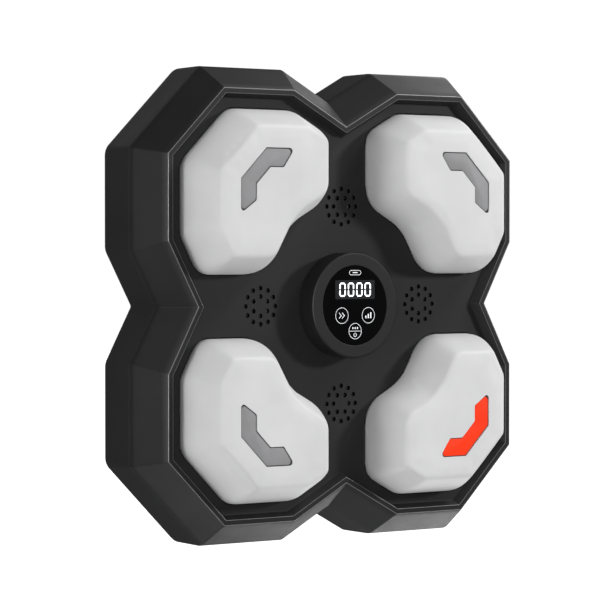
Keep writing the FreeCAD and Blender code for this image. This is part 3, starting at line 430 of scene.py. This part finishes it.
FLOOR_DROP = -1.30               # the machine hangs at chest height
bpy.ops.mesh.primitive_plane_add(size=60.0, location=(0, 0, FLOOR_DROP))
floor = bpy.context.object
floor.name = "studio_floor"
floor_paint, floor_tree, floor_shader = start_material("pale studio floor", Roughness=0.9,
                                                       Emission_Strength=0.85)
floor_tone = two_tone(floor_tree, object_place(floor_tree), 900.0, "FCFCFC", "FFFFFF")
floor_tree.links.new(floor_tone, floor_shader.inputs["Base Color"])
floor_tree.links.new(floor_tone, floor_shader.inputs["Emission Color"])
floor.data.materials.append(floor_paint)
floor.visible_diffuse = False    # the floor's own glow stays off the machine
floor.visible_glossy = False


def soft_lamp(name, direction, distance, size, watts, reflects=True, lights=True):
    """A round soft box that points at the machine."""
    aim = Vector(direction).normalized()
    bpy.ops.object.light_add(type="AREA", location=aim * distance)
    lamp = bpy.context.object
    lamp.name = name
    lamp.rotation_euler = aim.to_track_quat("Z", "Y").to_euler()
    lamp.data.shape = "DISK"
    lamp.data.size = size
    lamp.data.energy = watts
    lamp.visible_camera = False
    lamp.visible_glossy = reflects
    lamp.visible_diffuse = lights
    return lamp


soft_lamp("key_lamp", (0.74, -0.62, 0.26), 3.4, 0.42, 46.0)
soft_lamp("top_fill", (0.50, -0.40, 0.77), 2.6, 1.5, 18.0, reflects=False)
soft_lamp("low_fill", (0.30, -0.50, -0.81), 1.4, 0.8, 2.2, reflects=False)
soft_lamp("left_fill", (-0.965, -0.26, 0.0), 1.5, 0.4, 6.0, reflects=False)
soft_lamp("edge_box", (-0.589, -0.808, 0.02), 3.0, 0.9, 190.0, lights=False)
soft_lamp("top_edge_box", (0.589, -0.297, 0.748), 3.0, 0.9, 90.0, lights=False)
soft_lamp("back_top_box", (0.678, 0.233, 0.697), 0.516, 0.20, 0.40, lights=False)
soft_lamp("back_low_box", (0.60, 0.25, -0.76), 1.3, 0.5, 6.2, lights=False)
soft_lamp("wall_top_box", (-0.02, 0.81, 0.59), 2.0, 0.5, 1.2, lights=False)
soft_lamp("wall_low_box", (-0.33, -0.11, -0.94), 1.2, 0.5, 5.0, lights=False)

world = bpy.data.worlds.new("white studio")
world.use_nodes = True
studio = world.node_tree
studio_light = studio.nodes["Background"]
studio_light.inputs["Color"].default_value = (1, 1, 1, 1)
# the backdrop reads white, while the soft fill that it gives the machine is weaker
light_path = add_node(studio, "ShaderNodeLightPath")
studio_soft = add_node(studio, "ShaderNodeMapRange", None,
                       {"Value": light_path.outputs["Is Diffuse Ray"], "To Min": 0.12, "To Max": 0.46})
studio_fill = add_node(studio, "ShaderNodeMapRange", None,
                       {"Value": light_path.outputs["Is Camera Ray"],
                        "To Min": studio_soft.outputs["Result"], "To Max": 1.02})
studio.links.new(studio_fill.outputs["Result"], studio_light.inputs["Strength"])
bpy.context.scene.world = world
bpy.context.scene.view_settings.view_transform = "Standard"


# ------------------------------------------------------------------ housing

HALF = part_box("back_shell")[1].x / MM
CREASE = -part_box("back_shell")[0].y / MM
RIM = -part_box("front_bezel")[0].y / MM
PAD_FRONT = -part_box("pad_cover_tr")[0].y / MM
POD_FRONT = -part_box("control_barrel")[0].y / MM
FACE = RIM - 7.8
FACE_BACK = FACE - 3.0
TRAY_FRONT = FACE_BACK - 0.3
WALL = 2.6
SLOPE = 0.543                    # rise over run of the notch flanks
NOTCH_DEPTH = 25.4               # flat side to the bottom of each notch, at the crease
CORNER_REACH = 130.7             # how far x + z at the cut corners passes the half size
TAPER_SIDE = 18.8                # how far flats, notches and corners lean in up to the rim
TAPER_NOTCH = 22.9
TAPER_CORNER = 23.5
FLANK = math.sqrt(1 + SLOPE ** 2)
DIAGONAL = math.sqrt(2)
CORNER_STEPS = 5


def housing_ring(depth, inset, rounding, taper=0.0):
    """Four-lobed outline at one depth; taper runs from 0 at the crease to 1 at the rim."""
    half = HALF - TAPER_SIDE * taper - inset
    low = HALF - NOTCH_DEPTH - TAPER_NOTCH * taper - inset * FLANK
    diag = HALF + CORNER_REACH - TAPER_CORNER * taper - inset * DIAGONAL
    near = (half - low) / SLOPE
    far = diag - half
    quarter = [(0.0, low), (near, half), (far, half), (half, far), (half, near)]
    points, radii = [], []
    for turns in range(4):
        points += quarter_turn(quarter, turns)
        radii += [max(rounding * 0.25, 0.6)] + [rounding] * 4
    return ring_at(rounded(points, radii, CORNER_STEPS), depth)


def blend_round(start, end, share):
    return start + (end - start) * share


BACK_ROUND = 13.0                # upright corners at the wall
CREASE_ROUND = 3.0
CREASE_SOFT = 4.0                # the crease bends over this depth each side
SEAM = CREASE - 0.7              # where the tray meets the front, just behind the crease


def lean_share(depth):
    """How far the wall has leaned in at a depth: 0 up to the soft crease, 1 at the rim."""
    past = depth - CREASE + CREASE_SOFT
    if past <= 0:
        return 0.0
    if past < 2 * CREASE_SOFT:
        return past ** 2 / (4 * CREASE_SOFT) / (RIM - CREASE)
    return (depth - CREASE) / (RIM - CREASE)


shell_rings = [housing_ring(0.0, 2.6, BACK_ROUND), housing_ring(0.35, 1.3, BACK_ROUND),
               housing_ring(1.2, 0.4, BACK_ROUND), housing_ring(2.6, 0.0, BACK_ROUND)]
for step in range(1, 9):
    depth = 2.6 + (CREASE - CREASE_SOFT - 2.6) * step / 8
    shell_rings.append(housing_ring(depth, 0.0, blend_round(BACK_ROUND, CREASE_ROUND, step / 8)))
for depth in (CREASE - 2.8, CREASE - 1.6, SEAM - 0.1):
    shell_rings.append(housing_ring(depth, 0.0, CREASE_ROUND, lean_share(depth)))
shell_rings += [housing_ring(SEAM, 0.05, CREASE_ROUND, lean_share(SEAM)), housing_ring(SEAM, WALL, 2.0),
                housing_ring(3.0, WALL, 2.0)]
back_case = loft("back_case", shell_rings)
back_case.data.materials.append(SHELL_ABS)
CASE_SCREWS = [(150.0, 150.0), (0.0, 139.0)]     # one quarter's screws: corner and notch
WELL_RADIUS = 3.2
HANGER_SIDE = 60.0
HANGER_UP = 118.0
HANGER_ENTRY = 5.0
NECK = 2.5                       # half the width of the keyhole's neck
NECK_TOP = HANGER_UP + 11.5
cutters = []
for turns in range(4):
    for x, z in quarter_turn(CASE_SCREWS, turns):
        cutters.append(prism("well", circle(WELL_RADIUS, 24, x, z), -1.0, 25.0))
for x in (-HANGER_SIDE, HANGER_SIDE):
    cutters.append(prism("keyhole", circle(HANGER_ENTRY, 32, x, HANGER_UP), -1.0, 6.0))
    neck = [(x - NECK, HANGER_UP - 2.0), (x - NECK, NECK_TOP),
            (x + NECK, NECK_TOP), (x + NECK, HANGER_UP - 2.0)]
    cutters.append(prism("neck", rounded(neck, [0.3, NECK - 0.01, NECK - 0.01, 0.3], 6), -1.5, 6.5))
for cutter in cutters:
    cut(back_case, [cutter])
smooth(back_case)
dress(back_case, SHELL_ABS, "shell_plastic", "housing", "back_shell")

UNDER = RIM - WALL
under_share = (UNDER - CREASE) / (RIM - CREASE)
bezel_rings = [
    housing_ring(FACE_BACK, 5.5, 1.2, 1.0), housing_ring(UNDER, 5.5, 1.2, 1.0),
    housing_ring(UNDER, WALL, 1.2, under_share), housing_ring(SEAM + 0.03, WALL, 2.0),
    housing_ring(SEAM + 0.03, 0.05, CREASE_ROUND, lean_share(SEAM)),
    housing_ring(SEAM + 0.10, 0.0, CREASE_ROUND, lean_share(SEAM))]
for depth in (CREASE, CREASE + 0.8, CREASE + 1.6, CREASE + 2.4, CREASE + 3.2, CREASE + CREASE_SOFT):
    bezel_rings.append(housing_ring(depth, 0.0, 2.8, lean_share(depth)))
for step in range(1, 6):
    depth = CREASE + CREASE_SOFT + (RIM - 0.7 - CREASE - CREASE_SOFT) * step / 5
    bezel_rings.append(housing_ring(depth, 0.0, blend_round(2.8, 1.6, step / 5), lean_share(depth)))
bezel_rings += [
    housing_ring(RIM - 0.28, 0.12, 1.6, 1.0), housing_ring(RIM - 0.07, 0.34, 1.6, 1.0),
    housing_ring(RIM, 0.7, 1.5, 1.0), housing_ring(RIM, 0.95, 1.5, 1.0), housing_ring(RIM, 4.2, 1.2, 1.0),
    housing_ring(RIM, 4.4, 1.2, 1.0),
    housing_ring(RIM - 0.10, 4.72, 1.2, 1.0), housing_ring(RIM - 0.4, 4.95, 1.2, 1.0),
    housing_ring(FACE + 0.7, 7.75, 1.0, 1.0), housing_ring(FACE + 0.15, 8.1, 1.0, 1.0),
    housing_ring(FACE, 8.7, 1.0, 1.0), housing_ring(FACE, 9.2, 1.0, 1.0)]
front_case = loft("front_case", bezel_rings)
front_case.data.materials.append(BEZEL_ABS)
front_case.data.materials.append(RIM_HIGHLIGHT_ABS)
# the faces of the rim's outer round take the paler material: a painted highlight line
for face in front_case.data.polygons:
    depths = [-front_case.data.vertices[k].co.y / MM for k in face.vertices]
    if min(depths) > RIM - 0.3 and max(depths) - min(depths) > 0.01:
        face.material_index = 1


PAD_MARGIN = 17.0                # rim's outer edge to the pad's base
WEB_HALF = 26.5                  # half the gap between two pads
PAD_HEEL = 65.5                  # x = z of the hollow that faces the pod
PAD_ROUND = 17.0
PAD_WEB_ROUND = 28.0
PAD_HEEL_ROUND = 45.0
PAD_GAP = 1.2                    # pad to the edge of its opening


def pad_corners(grow):
    """Corners of the upper right pad's base, moved out by grow."""
    step = PAD_MARGIN - grow
    out = HALF - TAPER_SIDE - step
    line = HALF - NOTCH_DEPTH - TAPER_NOTCH - step * FLANK
    diag = HALF + CORNER_REACH - TAPER_CORNER - step * DIAGONAL
    web = WEB_HALF - grow
    heel = PAD_HEEL - grow * FLANK / (1 + SLOPE)
    top = line + web * SLOPE
    knee = heel + (heel - web) * SLOPE
    near = (out - line) / SLOPE
    return [(web, top), (near, out), (diag - out, out), (out, diag - out), (out, near),
            (top, web), (knee, web), (heel, heel), (web, knee)]


def pad_outline(grow, steps=8):
    radii = [PAD_ROUND + grow] * 6 + [PAD_WEB_ROUND + grow, PAD_HEEL_ROUND - grow, PAD_WEB_ROUND + grow]
    return rounded(pad_corners(grow), [max(r, 0.9) for r in radii], steps)


for turns in range(4):
    cut(front_case, [prism("opening", quarter_turn(pad_outline(PAD_GAP), turns), FACE_BACK - 4, FACE + 4)])
POD_HOLE = 40.0
cut(front_case, [prism("pod_hole", circle(POD_HOLE, 96), FACE_BACK - 4, FACE + 4)])
GRILLE_REACH = 84.0
GRILLE_RINGS = ((15.1, 12), (8.1, 6))            # radius and number of holes
GRILLE_HOLE = 2.0
holes = []
for turns in range(4):
    cx, cz = quarter_turn([(0.0, GRILLE_REACH)], turns)[0]
    for ring_radius, count in GRILLE_RINGS:
        for k in range(count):
            angle = 2 * math.pi * k / count + math.pi / 2 * turns
            spot_x, spot_z = cx + ring_radius * math.cos(angle), cz + ring_radius * math.sin(angle)
            holes.append(prism("hole", circle(GRILLE_HOLE, 16, spot_x, spot_z), FACE_BACK - 2, FACE + 2))
# the hole walls take the near-black painted shade
cut(front_case, holes, HOLE_SHADE_ABS)
smooth(front_case)
dress(front_case, BEZEL_ABS, "bezel_plastic", "housing", "front_bezel")

# ------------------------------------------------------------------ strike pads

# height above the face and how far the side has leaned in: a steep foot, then a long
# slanted facet, then a tight round at the crease with the flat front
PAD_PROFILE = [(0.0, 0.0), (5.0, 0.25), (9.0, 0.8), (13.0, 1.8), (16.5, 3.0), (20.0, 4.5),
               (24.0, 6.5), (28.0, 8.7), (32.0, 11.0), (35.0, 12.8), (37.2, 14.2), (38.2, 15.0),
               (38.8, 15.9), (39.0, 17.2)]
pad_rings = [ring_at(pad_outline(0.0), TRAY_FRONT)]
for rise, lean in PAD_PROFILE:
    pad_rings.append(ring_at(pad_outline(-lean), FACE + rise))
master_pad = loft("pad_master", pad_rings)

WINDOW_OUTER = 130.4
WINDOW_INNER = 115.8
WINDOW_BEND = 105.3              # where the outer and inner edges bend
WINDOW_INNER_BEND = 101.6
WINDOW_TIP = 78.0
END_LEAN = 0.7                   # run over rise of the slanted ends
END_FLANK = math.sqrt(1 + END_LEAN ** 2)
WELL_GAP = 0.8                   # window to the leather round it


def window_corners(grow):
    outer = WINDOW_OUTER + grow
    inner = WINDOW_INNER - grow
    bend = WINDOW_BEND + grow * (DIAGONAL - 1)
    inner_bend = WINDOW_INNER_BEND - grow * (DIAGONAL - 1)
    tip = WINDOW_TIP - grow * (END_FLANK + END_LEAN)
    heel = WINDOW_TIP + (WINDOW_OUTER - WINDOW_INNER) * END_LEAN - grow * (END_FLANK - END_LEAN)
    return [(tip, outer), (bend, outer), (outer, bend), (outer, tip),
            (inner, heel), (inner, inner_bend), (inner_bend, inner), (heel, inner)]


def window_outline(grow):
    radii = [2.8, 1.4, 1.4, 2.8, 2.6, 1.8, 1.8, 2.6]
    return rounded(window_corners(grow), radii, 5)


def puff(piece, voxel_mm, pressure, cap_mm, held):
    """Fills a pad as air does: fine even mesh, a short cloth run, and a cap on how far it swells."""
    apply_modifier(piece, "REMESH", mode="VOXEL", voxel_size=voxel_mm * MM, use_smooth_shade=True)
    apply_modifier(piece, "SMOOTH", factor=0.5, iterations=5)
    before = [v.co.copy() for v in piece.data.vertices]
    group = piece.vertex_groups.new(name="held")
    group.add([v.index for v in piece.data.vertices if held(v.co)], 1.0, "REPLACE")
    activate(piece)
    cloth = piece.modifiers.new("Cloth", "CLOTH")
    cloth.settings.use_pressure = True
    cloth.settings.uniform_pressure_force = pressure
    cloth.settings.vertex_group_mass = "held"
    cloth.settings.effector_weights.gravity = 0.0
    cloth.settings.tension_stiffness = 40.0
    cloth.settings.compression_stiffness = 40.0
    cloth.settings.bending_stiffness = 6.0
    cloth.point_cache.frame_start = 1
    cloth.point_cache.frame_end = 20
    for moment in range(1, 21):
        bpy.context.scene.frame_set(moment)
    bpy.ops.object.modifier_apply(modifier=cloth.name)
    bpy.context.scene.frame_set(1)
    for vert, start in zip(piece.data.vertices, before):
        shift = vert.co - start
        if shift.length > cap_mm * MM:
            vert.co = start + shift * (cap_mm * MM / shift.length)
    piece.vertex_groups.clear()


foot_line = -(FACE + 1.0) * MM
# the crease with the front is crisp, so the mesh is fine and the swell small
PAD_VOXEL = 1.9
PAD_PRESSURE = 2.0
PAD_SWELL = 0.6
puff(master_pad, PAD_VOXEL, PAD_PRESSURE, PAD_SWELL, lambda point: point.y > foot_line)
master_pad.data.materials.append(PAD_LEATHER)
cut(master_pad, [prism("window_well", window_outline(WELL_GAP), PAD_FRONT - 6.0, PAD_FRONT + 5.0)])
smooth(master_pad, 35.0)

master_window = loft("window_master", [
    ring_at(window_outline(0.0), TRAY_FRONT + 3.0), ring_at(window_outline(0.0), PAD_FRONT - 0.6),
    ring_at(window_outline(-0.15), PAD_FRONT - 0.22), ring_at(window_outline(-0.55), PAD_FRONT - 0.08)])
smooth(master_window, 40.0)
# painted shade: a black ring sits at the bottom of the gap round each window and darkens the gap where shade
# falls
gap_shade_outer, gap_shade_inner = window_outline(WELL_GAP + 0.15), window_outline(0.05)
master_gap_shade = loft("gap_shade_master", [
    ring_at(gap_shade_outer, PAD_FRONT - 3.0), ring_at(gap_shade_outer, PAD_FRONT - 0.5),
    ring_at(gap_shade_inner, PAD_FRONT - 0.5), ring_at(gap_shade_inner, PAD_FRONT - 3.0),
    ring_at(gap_shade_outer, PAD_FRONT - 3.0)], closed_tube=True)
for corner, turns in QUARTERS:
    body = "pad_" + corner
    pad = turned_copy(master_pad, "strike_pad_" + corner, turns)
    dress(pad, PAD_LEATHER, "pad_skin", body, "pad_cover_" + corner)
    window = turned_copy(master_window, "light_window_" + corner, turns)
    lit = corner == "br"
    dress(window, WINDOW_LIT if lit else WINDOW_GREY, "window_lit" if lit else "window_grey", body,
          "light_guide_" + corner)
    gap_shade = turned_copy(master_gap_shade, "window_gap_shade_" + corner, turns)
    dress(gap_shade, GAP_SHADE_BLACK, "switch_body", body)
for spare in (master_pad, master_window, master_gap_shade):
    bpy.data.objects.remove(spare, do_unlink=True)

# ------------------------------------------------------------------ return springs

for corner, turns in QUARTERS:
    node = "pad_springs_" + corner
    springs = bpy.data.objects.new("return_springs_" + corner, NODES[node].data.copy())
    bpy.context.collection.objects.link(springs)
    activate(springs)
    bpy.ops.object.mode_set(mode="EDIT")
    bpy.ops.mesh.select_all(action="SELECT")
    bpy.ops.mesh.remove_doubles(threshold=1e-6)
    bpy.ops.object.mode_set(mode="OBJECT")
    smooth(springs, 40.0)
    dress(springs, SPRING_WIRE, "spring_steel", "housing", node)
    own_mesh(springs)

# ------------------------------------------------------------------ control pod

DRUM = 44.7
DRUM_WALL = 3.0
GLASS = 33.7
LEDGE = 30.5                     # inner edge of the ledge under the glass
SKIRT = 39.7                     # the part that passes through the face


def lathe(name, profile, tube=False, facets=128):
    """A turned piece about the pod's axis. The profile is (radius, depth) from back to front; a
    tube comes back to its first pair instead of being closed by discs."""
    clear_selection()
    radius, depth = profile[0]
    bpy.ops.mesh.primitive_circle_add(vertices=facets, radius=radius * MM, location=(0, -depth * MM, 0),
                                      rotation=(math.pi / 2, 0, 0), fill_type="NOTHING" if tube else "NGON")
    piece = bpy.context.object
    piece.name = name
    piece.data.name = name
    bpy.ops.object.transform_apply(location=True, rotation=True, scale=True)
    bpy.ops.object.mode_set(mode="EDIT")
    bpy.ops.mesh.select_all(action="SELECT")
    for wide, deep in profile[1:]:
        step = {"value": (0, (depth - deep) * MM, 0)}
        if tube:
            bpy.ops.mesh.extrude_edges_move(TRANSFORM_OT_translate=step)
        else:
            bpy.ops.mesh.extrude_region_move(TRANSFORM_OT_translate=step)
        bpy.ops.transform.resize(value=(wide / radius, 1, wide / radius))
        radius, depth = wide, deep
    bpy.ops.mesh.select_all(action="SELECT")
    bpy.ops.mesh.remove_doubles(threshold=2e-6)
    bpy.ops.mesh.normals_make_consistent(inside=False)
    bpy.ops.object.mode_set(mode="OBJECT")
    return piece


drum = lathe("control_drum", [
    (DRUM - DRUM_WALL, FACE + 3.0), (DRUM - DRUM_WALL, POD_FRONT - 3.0), (LEDGE, POD_FRONT - 3.0),
    (LEDGE, POD_FRONT - 1.85), (GLASS + 0.2, POD_FRONT - 1.85), (GLASS + 0.2, POD_FRONT - 0.3),
    (GLASS + 0.32, POD_FRONT - 0.09), (GLASS + 0.6, POD_FRONT), (GLASS + 1.0, POD_FRONT),
    (DRUM - 1.8, POD_FRONT), (DRUM - 1.3, POD_FRONT),
    (DRUM - 0.8, POD_FRONT - 0.10), (DRUM - 0.38, POD_FRONT - 0.38), (DRUM - 0.10, POD_FRONT - 0.8),
    (DRUM, POD_FRONT - 1.3), (DRUM, FACE + 0.5), (DRUM - 0.2, FACE + 0.02), (SKIRT, FACE + 0.02),
    (SKIRT, FACE - 4.0), (SKIRT - 2.6, FACE - 4.0), (SKIRT - 2.6, FACE + 3.0),
    (DRUM - DRUM_WALL, FACE + 3.0)], tube=True)
PORT_DEPTH = 70.3
drum.data.materials.append(POD_ABS)
cut(drum, [prism("port", rounded([(-4.9, 40.0), (-4.9, 46.0), (4.9, 46.0), (4.9, 40.0)], [0.1] * 4, 1),
                 PORT_DEPTH - 2.0, PORT_DEPTH + 2.0)])
smooth(drum, 25.0)
dress(drum, POD_ABS, "bezel_plastic", "housing", "control_barrel")

glass = lathe("display_window", [
    (GLASS, POD_FRONT - 1.8), (GLASS, POD_FRONT - 0.35), (GLASS - 0.12, POD_FRONT - 0.1),
    (GLASS - 0.4, POD_FRONT - 0.02)])
smooth(glass, 10.0)
dress(glass, GLASS_BLACK, "display_glass", "housing", "display_glass")

# the digit window, its digits and the printed marks lie in the glass, a hair proud so they show
GLASS_FACE = POD_FRONT - 0.02
PRINT_BACK = GLASS_FACE - 0.3
STRIP_HALF = 20.8
STRIP_LOW, STRIP_HIGH = 5.4, 21.4
strip = [(-STRIP_HALF, STRIP_LOW), (-STRIP_HALF, STRIP_HIGH), (STRIP_HALF, STRIP_HIGH), (STRIP_HALF, STRIP_LOW)]
smoked = prism("digit_strip", rounded(strip, [0.8] * 4, 4), PRINT_BACK, GLASS_FACE + 0.02)
dress(smoked, SMOKED, "display_glass", "housing")


def segment(x, z, length, width, upright):
    """One lit bar of a digit: six-sided, with pointed ends."""
    half, thick = length / 2, width / 2
    shape = [(-half, 0), (-half + thick, thick), (half - thick, thick),
             (half, 0), (half - thick, -thick), (-half + thick, -thick)]
    if upright:
        shape = [(b, a) for a, b in shape]
    return prism("bar", [(x + a, z + b) for a, b in shape], PRINT_BACK, GLASS_FACE + 0.05)


DIGIT_MIDDLE = 13.4
DIGIT_TALL = 11.8
DIGIT_WIDE = 6.6
DIGIT_STEP = 8.9
BAR = 1.25
ARM = DIGIT_TALL / 2 - BAR / 2   # middle of the digit to the middle of its top bar
bars = []
for place in (-1.5 * DIGIT_STEP, -0.5 * DIGIT_STEP, 0.5 * DIGIT_STEP, 1.5 * DIGIT_STEP):
    for rise in (-ARM, ARM):
        bars.append(segment(place, DIGIT_MIDDLE + rise, DIGIT_WIDE - BAR - 0.5, BAR, False))
        for reach in (-1, 1):
            bars.append(segment(place + reach * (DIGIT_WIDE - BAR) / 2, DIGIT_MIDDLE + rise / 2,
                                ARM - 0.5, BAR, True))
digits = join(bars, "digit_bars")
dress(digits, DIGIT_LIGHT, "display_module", "housing")


def printed_ring(radius, thick, x, z):
    """A thin printed ring, drawn as a flat tube."""
    outer, inner = circle(radius, 64, x, z), circle(radius - thick, 64, x, z)
    return loft("ring", [ring_at(outer, PRINT_BACK), ring_at(outer, GLASS_FACE + 0.03),
                         ring_at(inner, GLASS_FACE + 0.03), ring_at(inner, PRINT_BACK),
                         ring_at(outer, PRINT_BACK)], closed_tube=True)


def printed_bar(x, z, wide, tall, turn=0.0):
    """A printed stroke with square ends, turned about its middle."""
    corners = [(-wide / 2, -tall / 2), (-wide / 2, tall / 2), (wide / 2, tall / 2), (wide / 2, -tall / 2)]
    cos, sin = math.cos(math.radians(turn)), math.sin(math.radians(turn))
    return prism("stroke", [(x + a * cos - b * sin, z + a * sin + b * cos) for a, b in corners],
                 PRINT_BACK, GLASS_FACE + 0.03)


KEYS = [(-14.0, -8.5), (14.0, -8.5), (0.0, -21.8)]
KEY_RADIUS = 6.8
PRINT_LINE = 0.38
marks = [printed_ring(KEY_RADIUS, PRINT_LINE, x, z) for x, z in KEYS]
# left key: two chevrons; right key: three rising bars; low key: a line, a power mark and two dots
left, right, low = KEYS
for shift in (-1.7, 1.5):
    marks.append(printed_bar(left[0] + shift, left[1] + 1.1, 3.6, 0.55, -45))
    marks.append(printed_bar(left[0] + shift, left[1] - 1.1, 3.6, 0.55, 45))
for shift, tall in ((-2.6, 2.2), (0.0, 3.6), (2.6, 5.0)):
    marks.append(printed_bar(right[0] + shift, right[1] - 2.5 + tall / 2, 1.2, tall))
marks.append(printed_bar(low[0], low[1], 13.0, PRINT_LINE))
for shift in (-2.4, 0.0, 2.4):
    marks.append(printed_bar(low[0] + shift, low[1] + 2.6, 1.1, 1.6))
power_mark = []
for reach, sweep in ((1.7, range(40, 321, 14)), (1.25, range(320, 39, -14))):
    for a in sweep:
        power_mark.append((low[0] + reach * math.sin(math.radians(a)),
                           low[1] - 3.2 + reach * math.cos(math.radians(a))))
marks.append(prism("stroke", power_mark, PRINT_BACK, GLASS_FACE + 0.03))
marks.append(printed_bar(low[0], low[1] - 2.0, 0.45, 1.6))
# battery pill above the digits
pill = [(-6.25, 25.7), (-6.25, 29.9), (6.25, 29.9), (6.25, 25.7)]
pill_outer = rounded(pill, [2.09] * 4, 6)
pill_inner = rounded([(x * 0.936, 27.8 + (z - 27.8) * 0.81) for x, z in pill], [1.69] * 4, 6)
marks.append(loft("pill", [ring_at(pill_outer, PRINT_BACK), ring_at(pill_outer, GLASS_FACE + 0.03),
                           ring_at(pill_inner, GLASS_FACE + 0.03), ring_at(pill_inner, PRINT_BACK),
                           ring_at(pill_outer, PRINT_BACK)], closed_tube=True))
marks.append(printed_bar(0.0, 27.8, 5.0, 0.7))
key_print = join(marks, "key_print")
dress(key_print, GLOWING_KEY_PRINT, "display_glass", "housing")
